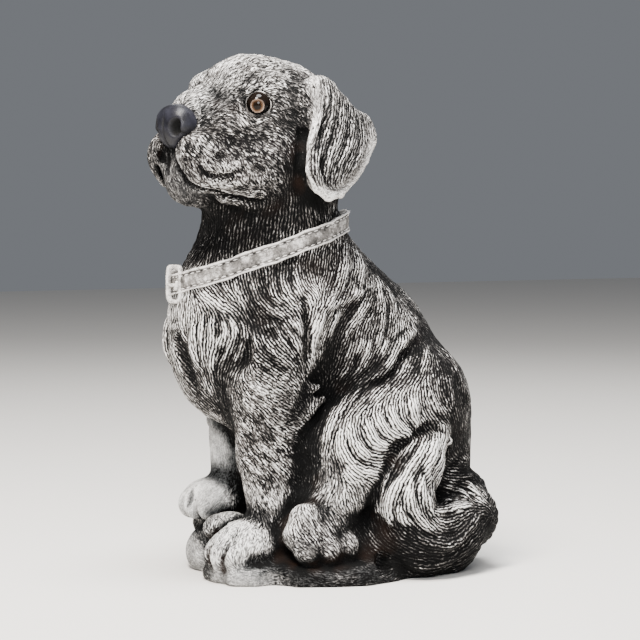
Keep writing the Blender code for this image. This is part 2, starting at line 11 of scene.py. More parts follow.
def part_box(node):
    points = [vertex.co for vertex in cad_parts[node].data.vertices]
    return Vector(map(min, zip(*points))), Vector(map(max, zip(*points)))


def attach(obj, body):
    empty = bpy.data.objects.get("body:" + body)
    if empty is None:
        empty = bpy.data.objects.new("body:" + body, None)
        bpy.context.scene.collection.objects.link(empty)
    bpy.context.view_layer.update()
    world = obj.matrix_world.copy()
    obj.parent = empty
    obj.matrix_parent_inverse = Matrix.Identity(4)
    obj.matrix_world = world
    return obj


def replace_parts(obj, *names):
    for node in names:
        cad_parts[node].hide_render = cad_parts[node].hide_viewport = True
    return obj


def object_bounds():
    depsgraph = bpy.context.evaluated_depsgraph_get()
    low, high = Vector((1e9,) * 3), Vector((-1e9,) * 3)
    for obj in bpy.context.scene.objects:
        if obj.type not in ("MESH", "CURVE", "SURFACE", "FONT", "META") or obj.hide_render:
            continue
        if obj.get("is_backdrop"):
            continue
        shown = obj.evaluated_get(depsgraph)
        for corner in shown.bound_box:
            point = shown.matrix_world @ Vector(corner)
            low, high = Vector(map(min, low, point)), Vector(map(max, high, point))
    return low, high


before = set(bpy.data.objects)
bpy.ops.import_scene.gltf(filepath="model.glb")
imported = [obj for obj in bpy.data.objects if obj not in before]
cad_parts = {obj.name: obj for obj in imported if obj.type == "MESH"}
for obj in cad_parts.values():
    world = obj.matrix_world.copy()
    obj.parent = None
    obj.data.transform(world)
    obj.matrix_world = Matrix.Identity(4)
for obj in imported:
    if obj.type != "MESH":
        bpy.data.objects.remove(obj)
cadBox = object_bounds()

# Shapes are worked out in layout millimetres: the statue as it was drawn, 250 tall, before its
# box was centred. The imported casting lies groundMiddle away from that.
layout = {
    "perMetre": 1000.0,
    "groundMiddle": (4.8, -6.1, 0.0),
    "headTurn": 10.0,              # degrees that the head turns to the dog's left
    "headPivot": (2.0, -28.2, 0.0),
}

# Where the photograph was taken from, in layout millimetres, and its scale in pixels
photoView = {
    "azimuth": 62.0,
    "distance": 1300.0,
    "height": 192.0,
    "lookDown": math.degrees(0.054242),
    "focalPixels": 2645.36,
    "imageSize": 640,
    "sensorWidth": 36.0,
}


def toMetres(points):
    return (np.asarray(points) - np.array(layout["groundMiddle"])) / layout["perMetre"]


def toLayout(points):
    return np.asarray(points) * layout["perMetre"] + np.array(layout["groundMiddle"])


def unit(vectors):
    # each row over its length
    return vectors / np.maximum(np.linalg.norm(vectors, axis=1), 1e-9)[:, None]


def headAxes():
    # forward, left and up of the turned head
    turn = math.radians(layout["headTurn"])
    forward = np.array([math.sin(turn), -math.cos(turn), 0.0])
    left = np.array([math.cos(turn), math.sin(turn), 0.0])
    return forward, left, np.array([0.0, 0.0, 1.0])


def headPlace(forward, left, up):
    ahead, aside, above = headAxes()
    return np.array(layout["headPivot"]) + forward * ahead + left * aside + up * above


# The form: ellipsoids, tapered bars and hollows that melt into each other. A mass is a dict, and
# its blend is the width over which it melts into what is listed before it.

def ball(centre, radii, blend, turn=0.0):
    return {"kind": "ball", "centre": centre, "radii": radii, "blend": blend, "turn": turn}


def hollow(centre, radii, blend, turn=0.0):
    return {"kind": "hollow", "centre": centre, "radii": radii, "blend": blend, "turn": turn}


def limb(start, end, startRadius, endRadius, blend):
    return {"kind": "limb", "start": start, "end": end, "radii": (startRadius, endRadius), "blend": blend}


def headBall(forward, left, up, radii, blend):
    sizes = (radii[1], radii[0], radii[2])
    return ball(headPlace(forward, left, up), sizes, blend, layout["headTurn"])


def headHollow(forward, left, up, radii, blend):
    sizes = (radii[1], radii[0], radii[2])
    return hollow(headPlace(forward, left, up), sizes, blend, layout["headTurn"])


def headLimb(start, end, startRadius, endRadius, blend):
    return limb(headPlace(*start), headPlace(*end), startRadius, endRadius, blend)


def trunkMasses():
    return [
        ball((0, -38, 124), (36, 41, 42), 10),
        ball((0, -40, 104), (32, 35, 34), 12),
        ball((0, -10, 130), (41, 36, 40), 16),
        limb((0, -28, 140), (2, -28, 194), 35, 32, 12),
        ball((0, 18, 100), (42, 40, 46), 16),
        ball((0, 42.5, 66), (43, 36, 46), 16),
        ball((0, 34, 34), (46, 42, 34), 14),
        ball((0, -12, 58), (26, 30, 44), 14),
        ball((24, -20, 46), (16, 24, 40), 8),
        ball((-24, -20, 46), (16, 24, 40), 8),
    ]


def forelegMasses():
    return [
        limb((31, -29, 128), (27, -44, 94), 19, 18, 7),
        limb((27, -44, 94), (24, -40, 60), 17.5, 15, 5),
        limb((24, -40, 60), (26, -37, 30), 15, 14, 5),
        ball((27, -51, 17), (16.5, 20, 12.5), 6, 8),
        limb((-30, -29, 128), (-24, -36, 96), 19, 17, 8),
        limb((-24, -36, 96), (-20, -35, 62), 16, 13, 6),
        limb((-20, -35, 62), (-20, -36, 44), 13, 12.5, 5),
        ball((-21, -47, 34), (14, 17, 10.5), 5, -4),
        ball((7, -54, 23), (9, 13, 7.5), 3, 6),
    ]


def elbowMasses():
    # pointed tufts behind the elbow, one over another
    masses = []
    for side in (1, -1):
        masses += [
            limb((side * 33, -35, 89), (side * 40, -23, 92), 6.0, 1.6, 4.0),
            limb((side * 34, -33, 83), (side * 40, -20, 86), 5.5, 1.4, 3.0),
            limb((side * 34, -38, 72), (side * 41, -25, 83), 7.0, 2.0, 4.0),
        ]
    return masses


def toeMasses():
    toes = []
    for side in (-1.5, -0.5, 0.5, 1.5):
        reach = 69 - 2.2 * side * side
        toes.append(ball((26 + 7.6 * side, 3 - reach - 0.8 * side, 13), (5.2, 8.5, 8.5), 1.6, 6 * side))
        reach = 59 - 1.8 * side * side
        toes.append(ball((-21 + 6.4 * side, -reach, 31.5), (4.4, 7.0, 7.0), 1.5, 6 * side))
    return toes


def hindLegMasses():
    masses = []
    for side in (1, -1):
        masses += [
            limb((side * 24, 38, 82), (side * 34, -3, 62), 29, 24, 7),
            limb((side * 42, -6, 50), (side * 45, -20, 34), 17, 12, 7),
            ball((side * 46.5, -25, 23), (12.5, 20, 12), 5, side * 12),
            ball((side * 50, -34, 31), (7, 8, 7), 2.5),
            ball((side * 56, -16, 18), (5.5, 6, 6.5), 3),
            ball((side * 57, -26, 17), (5.5, 6, 6.5), 2.2),
            ball((side * 54.5, -36, 17), (6, 7, 7), 2.2),
        ]
    return masses


def tailMasses():
    knots = [((20, 70, 33), 12.5), ((38, 61, 25), 15.0), ((46, 45, 18), 17.0), ((52, 24, 18), 17.5),
             ((53, 16, 38), 14.5), ((50, 26, 54), 12.5), ((47, 38, 68), 7.5)]
    return [limb(a[0], b[0], a[1], b[1], 4) for a, b in zip(knots[:-1], knots[1:])]


def moundMasses():
    return [
        ball((23, -42, 3), (29, 30, 11), 5),
        ball((-14, -34, 8), (28, 30, 19), 5),
        ball((38, -12, 2), (31, 36, 11), 5),
        ball((-32, -4, 3), (28, 42, 14), 6),
        ball((4, 30, 8), (55, 40, 22), 8),
        ball((32, 4, 14), (26, 26, 20), 6),
        limb((40, -66, 3), (52, -44, 3), 4, 4, 4),
        limb((56, -40, 2), (65, -12, 2), 4.5, 4.5, 4),
        hollow((57, -53, 3), (10, 8, 9), 3),
        hollow((66, 2, 9), (11, 5.5, 7.5), 1),
    ]


eyeLook = {
    "place": (24.0, 22.6, 226.0),   # forward, left, up of the eyeball's middle
    "radius": 6.0,
    "axis": (0.62, 0.78, 0.0),      # where the lids open to: forward, left, up
    "gaze": (0.675, 0.72, -0.16),   # where the pupil looks
    "socket": 6.6,
    "socketReach": 4.6,             # mm that the socket lies in front of the eyeball's middle
}


def headMasses():
    masses = [
        headBall(4, 0, 216.3, (36, 34, 33), 10),
        headBall(16, 0, 223.2, (22, 27, 26), 8),
        headBall(-14, 0, 210, (26, 30, 30), 10),
        headBall(40, 0, 215.5, (18.5, 15.0, 19.0), 8),
        headBall(49, 0.5, 190.5, (12, 8.5, 10), 2.0),
        headBall(51.5, -0.5, 195, (10, 7.5, 6.5), 2.0),
        headLimb((46, 0, 189), (12, 0, 186), 10, 15, 8),
        headBall(53.0, 0, 215.8, (6.0, 9.0, 8.0), 2.5),
    ]
    ahead, aside, above = eyeLook["axis"]
    for side in (1, -1):
        masses.append(headBall(29, side * 12.5, 233.5, (9, 8.5, 8), 5))
        masses.append(headBall(47 - side, side * 10, 202.5, (15.5, 11.5, 12.5), 4))
        masses.append(headLimb((46, side * 12, 197), (28, side * 21, 193), 12, 13, 5))
        masses.append(headLimb((38, side * 16, 184.0), (22, side * 21.5, 182.0), 5.0, 6.0, 3))
        masses.append(headBall(14, side * 20, 200, (23, 16.5, 20), 7))
        masses.append(headBall(31, side * 14, 213, (15, 12, 13), 7))
        forward, left, up = eyeLook["place"]
        reach = eyeLook["socketReach"]
        centre = (forward + reach * ahead, side * (left + reach * aside), up + reach * above)
        masses.append(headHollow(*centre, (eyeLook["socket"],) * 3, 1.2))
        masses.append(headHollow(61, side * 7.5, 216, (8.5, 4.2, 5.0), 1.0))
    masses.append(headHollow(70, 0, 200, (6, 1.6, 10), 2.0))
    masses.append(headHollow(62, -3.5, 203, (5, 2.2, 5), 1.5))
    masses.append(headHollow(59, -8, 189, (6, 1.8, 9), 1.5))
    return masses


def earMasses():
    masses = []
    rim = [(-3, 30, 237), (-1, 34.5, 230), (1.5, 38.5, 220), (7, 42.5, 206), (9, 44.5, 195), (5, 44.5, 187),
           (-2, 43, 183), (-10, 41, 184), (-19, 39, 191), (-28, 37, 200), (-35, 34, 209)]
    for side in (1, -1):
        masses.append(headBall(-5, side * 31, 228, (12, 6.5, 12), 5))
        masses.append(headBall(-8, side * 36, 215, (14, 6.5, 18), 6))
        masses.append(headBall(-19, side * 34.5, 211, (18.5, 6.5, 14), 6))
        masses.append(headBall(-2, side * 40, 197, (12, 6, 14), 6))
        masses.append(headBall(-13, side * 38, 199, (14, 6, 12), 6))
        for place, (first, second) in enumerate(zip(rim[:-1], rim[1:])):
            start = (first[0], side * first[1], first[2])
            end = (second[0], side * second[1], second[2])
            width = 3.0 if place < 6 else 2.4
            masses.append(headLimb(start, end, width, width, 1.0))
    return masses


def massDepth(mass, points):
    # Bar: distance to its axis less the radius there. Ellipsoid: k0 (k0 - 1) / k1, where k0 is the
    # length of p / radii and k1 the length of p / radii squared.
    if mass["kind"] == "limb":
        start = np.array(mass["start"], dtype=float)
        axis = np.array(mass["end"], dtype=float) - start
        share = np.clip(((points - start) @ axis) / (axis @ axis), 0.0, 1.0)
        gap = np.linalg.norm(points - start - share[:, None] * axis, axis=1)
        first, last = mass["radii"]
        return gap - (first + (last - first) * share)
    turn = math.radians(mass["turn"])
    x, y, z = (points - np.array(mass["centre"], dtype=float)).T
    across = x * math.cos(turn) + y * math.sin(turn)
    along = -x * math.sin(turn) + y * math.cos(turn)
    a, b, c = mass["radii"]
    near = np.sqrt((across / a) ** 2 + (along / b) ** 2 + (z / c) ** 2)
    slope = np.sqrt((across / a ** 2) ** 2 + (along / b ** 2) ** 2 + (z / c ** 2) ** 2)
    return near * (near - 1.0) / np.maximum(slope, 1e-6)


def massReach(mass):
    # middle and radius of a sphere that holds the mass
    if mass["kind"] == "limb":
        start = np.array(mass["start"], dtype=float)
        end = np.array(mass["end"], dtype=float)
        return (start + end) / 2, np.linalg.norm(end - start) / 2 + max(mass["radii"])
    return np.array(mass["centre"], dtype=float), max(mass["radii"])


def softUnion(first, second, blend):
    # the lower of two distances, less a quarter of the blend times the squared overlap
    mix = np.maximum(blend - np.abs(first - second), 0.0) / blend
    return np.minimum(first, second) - mix * mix * blend * 0.25


def figureDepth(masses, points):
    # Signed distance to the blended figure, cut flat at the ground. Points are sorted into cubes of
    # cellSize, so that each mass only looks at the cubes in its reach.
    cellSize = 14.0
    cells = np.floor((points - points.min(axis=0)) / cellSize).astype(np.int64)
    counts = cells.max(axis=0) + 1
    keys, cellOf = np.unique((cells[:, 0] * counts[1] + cells[:, 1]) * counts[2] + cells[:, 2],
                             return_inverse=True)
    corners = np.stack([keys // (counts[1] * counts[2]), keys // counts[2] % counts[1],
                        keys % counts[2]], axis=1)
    middles = (corners + 0.5) * cellSize + points.min(axis=0)
    farAway, halfDiagonal, margin = 60.0, 0.87, 9.0
    depth = np.full(len(points), farAway)
    for mass in masses:
        middle, reach = massReach(mass)
        reach = reach + halfDiagonal * cellSize + mass["blend"] + margin
        near = np.flatnonzero((np.linalg.norm(middles - middle, axis=1) < reach)[cellOf])
        if len(near) == 0:
            continue
        found = massDepth(mass, points[near])
        if mass["kind"] == "hollow":
            depth[near] = -softUnion(-depth[near], found, mass["blend"])
        else:
            depth[near] = softUnion(depth[near], found, mass["blend"])
    return np.maximum(depth, -points[:, 2])


def settlePoints(masses, points, rounds):
    # Newton steps down the slope of the depth, at most 1.5 mm each, until points lie on the surface
    step = 0.05
    for _ in range(rounds):
        depth = figureDepth(masses, points)
        slope = np.empty_like(points)
        for axis in range(3):
            shifted = points.copy()
            shifted[:, axis] += step
            slope[:, axis] = (figureDepth(masses, shifted) - depth) / step
        steepness = np.maximum((slope ** 2).sum(axis=1), 0.2)
        move = np.clip(depth / steepness, -1.5, 1.5)
        points = points - slope * move[:, None]
    return points


# Mesh handling

def readPoints(mesh):
    flat = np.empty(len(mesh.vertices) * 3, dtype=np.float32)
    mesh.vertices.foreach_get("co", flat)
    return toLayout(flat.reshape(-1, 3).astype(float))


def addPiece(name, mesh, material):
    piece = bpy.data.objects.new(name, mesh)
    bpy.context.scene.collection.objects.link(piece)
    piece.data.materials.clear()
    piece.data.materials.append(material)
    mesh.shade_smooth()
    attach(piece, "root")
    return piece


def addAttribute(mesh, name, values):
    layer = mesh.attributes.new(name, "FLOAT", "POINT")
    layer.data.foreach_set("value", np.asarray(values, dtype=np.float32))


def surfaceNet(depthAt, low, high, spacing):
    # Surface net: the depth is worked out on a grid, a point is put in each cell that the surface
    # crosses, at the mean of its edges' crossings, and each crossed edge joins its four cells' points.
    block = 4
    blocks = np.ceil((high - low) / spacing / block).astype(int) + 1
    index = np.stack(np.meshgrid(*[np.arange(count) for count in blocks], indexing="ij"), axis=-1)
    middles = low + (index.reshape(-1, 3) * block + (block - 1) / 2) * spacing
    coarse = depthAt(middles)
    values = coarse.reshape(blocks).repeat(block, 0).repeat(block, 1).repeat(block, 2)
    near = index.reshape(-1, 3)[np.abs(coarse) < 1.8 * block * spacing] * block
    inside = np.stack(np.meshgrid(*[np.arange(block)] * 3, indexing="ij"), axis=-1).reshape(-1, 3)
    fine = (near[:, None, :] + inside[None, :, :]).reshape(-1, 3)
    values[tuple(fine.T)] = depthAt(low + fine * spacing)

    solid = values < 0
    corners = np.array([(i, j, k) for i in (0, 1) for j in (0, 1) for k in (0, 1)])
    size = np.array(values.shape) - 1
    count = sum(solid[i:i + size[0], j:j + size[1], k:k + size[2]].astype(np.int8) for i, j, k in corners)
    cells = np.argwhere((count > 0) & (count < 8))
    total = np.zeros((len(cells), 3))
    crossings = np.zeros(len(cells))
    for start in corners:
        for axis in range(3):
            if start[axis] == 0:
                step = np.eye(3, dtype=int)[axis]
                first = values[tuple((cells + start).T)]
                second = values[tuple((cells + start + step).T)]
                crossed = (first < 0) != (second < 0)
                share = first[crossed] / (first[crossed] - second[crossed])
                total[crossed] += start + share[:, None] * step
                crossings[crossed] += 1
    points = low + (cells + total / crossings[:, None]) * spacing

    number = np.full(size, -1, dtype=np.int64)
    number[tuple(cells.T)] = np.arange(len(cells))
    quads = []
    for axis in range(3):
        step, back, down = (np.eye(3, dtype=int)[(axis + shift) % 3] for shift in range(3))
        ahead = np.roll(solid, -1, axis=axis)
        edges = np.argwhere(solid != ahead)
        edges = edges[((edges > 0) & (edges < size)).all(axis=1)]
        ring = [number[tuple((edges - shift).T)] for shift in (0 * back, back, back + down, down)]
        ring = np.stack(ring, axis=1)
        outward = solid[tuple(edges.T)]
        quads.append(np.where(outward[:, None], ring, ring[:, ::-1]))
    return points, np.concatenate(quads)


def splitQuads(points, quads):
    # two triangles from each quad, cut along its shorter diagonal
    first = np.linalg.norm(points[quads[:, 0]] - points[quads[:, 2]], axis=1)
    second = np.linalg.norm(points[quads[:, 1]] - points[quads[:, 3]], axis=1)
    turned = np.where((first <= second)[:, None], quads, np.roll(quads, -1, axis=1))
    return np.concatenate([turned[:, [0, 1, 2]], turned[:, [0, 2, 3]]])


def pointNormals(points, corners):
    # mean of the normals of the triangles at each point, weighted by their areas
    a, b, c = (points[corners[:, place]] for place in range(3))
    faces = np.cross(b - a, c - a)
    normals = np.stack([sum(np.bincount(corners[:, place], faces[:, axis], len(points))
                            for place in range(3)) for axis in range(3)], axis=1)
    return unit(normals)


def edgesOf(corners):
    pairs = np.concatenate([corners[:, [0, 1]], corners[:, [1, 2]], corners[:, [2, 0]]])
    return np.unique(np.sort(pairs, axis=1), axis=0)


# From pixels of the photograph to places on the statue

def pixelRay(across, down):
    turn = math.radians(photoView["azimuth"])
    tilt = math.radians(photoView["lookDown"])
    right = np.array([math.cos(turn), math.sin(turn), 0.0])
    ahead = np.array([-math.sin(turn) * math.cos(tilt), math.cos(turn) * math.cos(tilt), -math.sin(tilt)])
    above = np.cross(right, ahead)
    start = photoView["distance"] * np.array([math.sin(turn), -math.cos(turn), 0.0])
    start[2] = photoView["height"]
    half = photoView["imageSize"] / 2
    focal = photoView["focalPixels"]
    toward = ahead + (across - half) / focal * right - (down - half) / focal * above
    return start, toward / np.linalg.norm(toward)


def curveThrough(controls, spacing):
    # Catmull-Rom curve through the control points, with a point about every spacing
    controls = np.array(controls, dtype=float)
    length = np.linalg.norm(np.diff(controls, axis=0), axis=1).sum()
    count = max(3, int(length / spacing) + 1)
    padded = np.vstack([2 * controls[0] - controls[1], controls, 2 * controls[-1] - controls[-2]])
    places = np.linspace(0.0, len(controls) - 1 - 1e-6, count)
    span = places.astype(int)
    share = (places - span)[:, None]
    before, start, end, after = (padded[span + shift] for shift in range(4))
    linear = (end - before) * share
    square = (2 * before - 5 * start + 4 * end - after) * share ** 2
    cube = (3 * start - before - 3 * end + after) * share ** 3
    return start + 0.5 * (linear + square + cube)


def castPath(tree, pixels, spacing=5.0):
    # the stroke drawn on the photograph, laid on the statue where its rays meet it; a ray that lands
    # more than largestGap mm from the last one has slipped on to something behind
    largestGap = 9.0
    hits = []
    for across, down in curveThrough(pixels, spacing):
        start, toward = pixelRay(across, down)
        place, normal, face, distance = tree.ray_cast(Vector(start), Vector(toward))
        if place is not None and (not hits or np.linalg.norm(np.array(place) - hits[-1]) < largestGap):
            hits.append(np.array(place))
    return np.array(hits)


def mirrorBody(points):
    return points * np.array([-1.0, 1.0, 1.0])


def mirrorHead(points):
    forward, left, up = headAxes()
    aside = (points - np.array(layout["headPivot"])) @ left
    return points - 2 * aside[:, None] * left


# The fur. Each area is combed in the direction that the hair lies, with strokes in pixels of the
# photograph, or places in layout millimetres where it doesn't reach. The six values of fur are the
# distance between long hairs in mm, how deep hairs and strands are cut, from 0 to 1, how far the
# hairs run on, how pale the ridges are rubbed, and how much bare blue-grey cement shows. The low
# paleness of the throat, chest recess, the recess before the ear, tail, mound and its rim is partly
# black stain and partly painted shade. mirror says which copy is laid on the other side.
furAreas = {
    "bridge of the nose": {"mirror": "head", "fur": (1.3, 0.9, 0.1, 0.0, 0.56, 0.25),
        "strokes": [[(184, 102), (197, 86), (211, 71), (227, 58)],
        [(197, 111), (211, 105), (227, 98), (238, 90)], [(190, 96), (206, 92), (222, 84), (236, 70)]]},
    "brow": {"mirror": "head", "fur": (1.3, 1.0, 0.15, 0.0, 0.54, 0.05),
        "strokes": [[(242, 102), (244, 88), (252, 78), (262, 72)],
        [(236, 80), (246, 68), (262, 62), (282, 64)], [(262, 84), (272, 80), (284, 82), (298, 90)],
        [(264, 71), (288, 70), (302, 74), (311, 82)], [(273, 96), (284, 95), (294, 99), (302, 104)],
        [(273, 105), (288, 108), (300, 114)]]},
    "cheek": {"mirror": "head", "fur": (1.3, 1.0, 0.15, 0.1, 0.4, 0.0),
        "strokes": [[(201, 130), (217, 127), (232, 130), (247, 137)],
        [(247, 110), (257, 119), (269, 121), (280, 116)],
        [(247, 137), (259, 142), (273, 150), (284, 160)], [(259, 132), (273, 138), (286, 146)],
        [(272, 121), (283, 127), (296, 136)], [(250, 150), (262, 158), (273, 168), (282, 178)],
        [(262, 172), (268, 182), (276, 192)]]},
    "upper lip": {"mirror": "head", "fur": (1.3, 1.0, 0.15, 0.1, 0.5, 0.0),
        "strokes": [[(186, 148), (190, 158), (196, 170), (203, 182)],
        [(197, 143), (203, 156), (211, 169), (218, 184)],
        [(208, 140), (216, 152), (224, 164), (232, 180)],
        [(225, 142), (234, 156), (242, 170), (248, 184)], [(211, 190), (232, 191), (252, 190)]]},
    "chin": {"mirror": "head", "fur": (1.8, 0.5, 0.1, 0.0, 0.41, 0.2),
        "strokes": [[(172, 168), (175, 182), (186, 196)], [(182, 172), (186, 186), (196, 198)]]},
    "crown": {"fur": (1.4, 0.95, 0.2, 0.1, 0.74, 0.05),
        "places": [
        [headPlace(44, 0, 234), headPlace(30, 0, 243), headPlace(12, 0, 250), headPlace(-8, 0, 248)],
        [headPlace(12, 16, 246), headPlace(0, 17, 246), headPlace(-10, 16, 243)],
        [headPlace(12, -16, 246), headPlace(0, -17, 246), headPlace(-10, -16, 243)]]},
    "back of the skull": {"fur": (1.4, 1.0, 0.3, 0.3, 0.46, 0.0),
        "places": [
        [headPlace(-14, 0, 246), headPlace(-28, 0, 236), headPlace(-40, 0, 214), headPlace(-36, 0, 192)],
        [headPlace(-14, 15, 241), headPlace(-26, 14, 232), headPlace(-36, 12, 212), headPlace(-36, 12, 196)],
        [headPlace(-14, -15, 241), headPlace(-26, -14, 232), headPlace(-36, -12, 212),
         headPlace(-36, -12, 196)]]},
    "ear": {"mirror": "head", "fur": (1.5, 1.0, 0.5, 0.7, 0.5, 0.1),
        "strokes": [
        [(326, 84), (328, 98), (325, 114), (320, 131), (315, 146), (314, 165), (317, 180)],
        [(334, 91), (334, 108), (329, 127), (323, 146), (319, 165), (320, 182)],
        [(343, 98), (342, 117), (339, 137), (332, 156), (327, 175), (328, 186)],
        [(352, 108), (353, 127), (349, 146), (341, 165), (337, 182)],
        [(360, 119), (363, 137), (360, 151), (354, 165), (346, 178)]]},
    "ear rim": {"mirror": "head", "fur": (2.4, 0.25, 0.05, 0.0, 0.95, 0.1),
        "strokes": [
        [(318, 86), (319, 100), (318, 114), (312, 135), (308, 152), (306, 165), (311, 182), (322, 195)],
        [(322, 195), (337, 191), (351, 179), (365, 163), (371, 150)]]},
    "temple": {"mirror": "head", "fur": (1.3, 1.0, 0.15, 0.1, 0.5, 0.0),
        "strokes": [[(296, 96), (303, 102), (309, 110)], [(292, 112), (300, 118), (307, 126)],
        [(290, 128), (297, 134), (304, 142)]]},
    "before the ear": {"mirror": "head", "fur": (1.4, 1.0, 0.2, 0.2, 0.12, 0.0),
        "strokes": [[(303, 150), (300, 170), (300, 190)]]},
    "chest recess": {"fur": (1.5, 0.9, 0.6, 0.6, 0.16, 0.0),
        "strokes": [[(174, 334), (181, 338), (189, 346)], [(174, 344), (182, 350), (192, 358)],
        [(177, 356), (186, 362), (196, 370)], [(182, 370), (190, 376), (200, 384)],
        [(188, 384), (196, 390), (205, 398)]]},
    "around the eye": {"mirror": "head", "fur": (1.5, 0.9, 0.1, 0.0, 0.25, 0.0),
        "strokes": [[(236, 96), (240, 104), (244, 112)], [(240, 92), (242, 100), (243, 108)],
        [(276, 108), (283, 114), (288, 122)], [(280, 104), (287, 110), (292, 118)]]},
    "under the eye": {"mirror": "head", "fur": (1.3, 0.9, 0.1, 0.0, 0.66, 0.0),
        "strokes": [[(243, 114), (251, 118), (261, 119), (270, 117)]]},
    "throat": {"mirror": "head", "fur": (1.6, 1.0, 0.7, 0.85, 0.17, 0.0),
        "strokes": [[(206, 208), (203, 225), (200, 245)], [(222, 207), (219, 225), (217, 245)],
        [(245, 208), (242, 222), (240, 240)], [(270, 205), (267, 218), (265, 232)],
        [(292, 150), (294, 175), (293, 200), (290, 222)], [(312, 203), (314, 212), (316, 222)]]},
    "nape": {"mirror": "body", "fur": (1.5, 1.0, 0.4, 0.5, 0.36, 0.0),
        "places": [[(2, 10, 196), (2, 8, 182), (2, 12, 170)],
        [(24, 4, 192), (25, 2, 178), (26, 4, 166)]]},
    "shoulder": {"mirror": "body", "fur": (1.4, 1.0, 0.5, 0.75, 0.39, 0.0),
        "strokes": [[(236, 278), (238, 291), (244, 303), (247, 313)],
        [(253, 276), (257, 295), (267, 306), (276, 309)],
        [(270, 265), (271, 284), (276, 299), (284, 305)],
        [(285, 258), (284, 280), (290, 296), (298, 304)],
        [(298, 252), (297, 270), (300, 288), (309, 297)],
        [(308, 247), (306, 268), (311, 284), (319, 291)],
        [(322, 242), (318, 258), (317, 272), (319, 284)],
        [(334, 240), (334, 260), (331, 275), (322, 290)],
        [(346, 241), (345, 261), (341, 281), (334, 297), (320, 312), (315, 326)]]},
    "chest": {"mirror": "body", "fur": (1.45, 1.0, 0.6, 0.75, 0.47, 0.05),
        "strokes": [[(186, 296), (184, 310), (182, 324)],
        [(199, 292), (208, 300), (222, 308), (236, 311)], [(222, 286), (228, 296), (236, 304)],
        [(193, 321), (195, 342), (197, 357), (202, 372), (208, 390)],
        [(203, 319), (203, 337), (205, 357), (208, 374)],
        [(212, 316), (213, 337), (211, 357), (212, 374)],
        [(222, 320), (226, 334), (220, 346), (215, 358), (213, 372)],
        [(230, 319), (236, 332), (231, 347), (220, 366)],
        [(241, 321), (246, 334), (242, 348), (230, 370)]]},
    "chest middle": {"fur": (1.5, 1.0, 0.6, 0.7, 0.4, 0.1),
        "places": [[(0, -76, 136), (0, -79, 122), (0, -77, 106), (0, -70, 90)],
        [(-12, -74, 134), (-12, -77, 120), (-10, -74, 104), (-6, -68, 90)]]},
    "upper arm": {"mirror": "body", "fur": (1.4, 1.0, 0.6, 0.75, 0.24, 0.0),
        "strokes": [[(250, 322), (255, 332), (257, 342), (263, 354), (275, 360)],
        [(258, 322), (264, 336), (272, 346), (280, 354), (292, 364)],
        [(270, 322), (279, 338), (287, 350), (299, 361)],
        [(284, 320), (293, 334), (298, 346), (301, 360)],
        [(253, 342), (254, 352), (262, 362), (272, 369)],
        [(248, 352), (244, 364), (238, 376), (230, 392)]]},
    "forearm": {"mirror": "body", "fur": (1.3, 1.0, 0.3, 0.35, 0.4, 0.0),
        "strokes": [[(219, 384), (227, 411), (234, 432), (238, 450), (239, 473)],
        [(236, 392), (246, 403), (256, 411), (262, 420)],
        [(246, 380), (260, 390), (272, 398), (284, 404)],
        [(262, 372), (274, 378), (286, 386), (294, 394)],
        [(241, 420), (250, 428), (258, 438), (264, 450)],
        [(268, 412), (278, 420), (288, 426), (296, 430)],
        [(257, 442), (266, 450), (278, 458), (288, 468)],
        [(243, 455), (252, 466), (262, 476), (268, 490)],
        [(274, 444), (286, 454), (296, 464), (302, 478)], [(271, 462), (282, 472), (291, 484)]]},
    "near paw": {"fur": (1.3, 1.0, 0.25, 0.2, 0.56, 0.15),
        "strokes": [[(240, 480), (242, 500), (250, 518), (255, 532)],
        [(257, 488), (264, 504), (270, 519), (273, 535)],
        [(278, 490), (282, 508), (280, 528), (276, 548)]]},
    "toes": {"fur": (1.6, 0.9, 0.15, 0.1, 0.74, 0.4),
        "strokes": [[(234, 512), (222, 514), (208, 518)], [(226, 530), (219, 540), (214, 552)],
        [(248, 528), (243, 544), (240, 560)]]},
    "far leg": {"fur": (2.4, 0.25, 0.15, 0.0, 0.61, 0.75),
        "strokes": [[(214, 424), (218, 440), (220, 456), (218, 470)],
        [(224, 438), (228, 454), (230, 470)], [(214, 478), (200, 486), (188, 500), (184, 514)],
        [(226, 480), (216, 494), (206, 510)]]},
    "far leg front": {"fur": (2.4, 0.25, 0.15, 0.0, 0.61, 0.75),
        "places": [[(-20, -49, 80), (-20, -49, 62), (-20, -50, 48), (-21, -60, 40)],
        [(-32, -42, 80), (-32, -40, 60), (-32, -42, 46), (-32, -54, 38)]]},
    "flank": {"mirror": "body", "fur": (1.4, 1.0, 0.45, 0.7, 0.46, 0.0),
        "strokes": [[(357, 251), (361, 271), (360, 288), (354, 300)],
        [(377, 276), (380, 297), (382, 312), (380, 332), (376, 353)],
        [(387, 287), (393, 305), (393, 325), (388, 344), (380, 362)],
        [(400, 302), (406, 318), (408, 332)],
        [(371, 302), (361, 314), (351, 328), (343, 345), (338, 362)],
        [(346, 305), (336, 318), (331, 334), (330, 353), (330, 370)],
        [(326, 312), (319, 328), (314, 344), (314, 363), (318, 378)],
        [(361, 330), (357, 348), (350, 364), (340, 380)],
        [(387, 350), (378, 364), (366, 376), (352, 388)],
        [(411, 355), (405, 366), (396, 379), (384, 392)]]},
    "spine": {"mirror": "body", "fur": (1.4, 1.0, 0.35, 0.6, 0.12, 0.0),
        "strokes": [
        [(371, 267), (397, 292), (417, 317), (438, 343), (453, 363), (463, 385), (470, 412)],
        [(420, 335), (430, 350), (438, 372), (442, 396)],
        [(450, 374), (451, 392), (455, 414), (460, 436)]]},
    "back": {"mirror": "body", "fur": (1.4, 1.0, 0.4, 0.6, 0.3, 0.1),
        "places": [[(2, 10, 168), (2, 34, 150), (2, 58, 122), (2, 76, 92), (2, 78, 60)],
        [(16, 16, 162), (20, 38, 142), (24, 58, 116), (26, 70, 88), (26, 70, 58)],
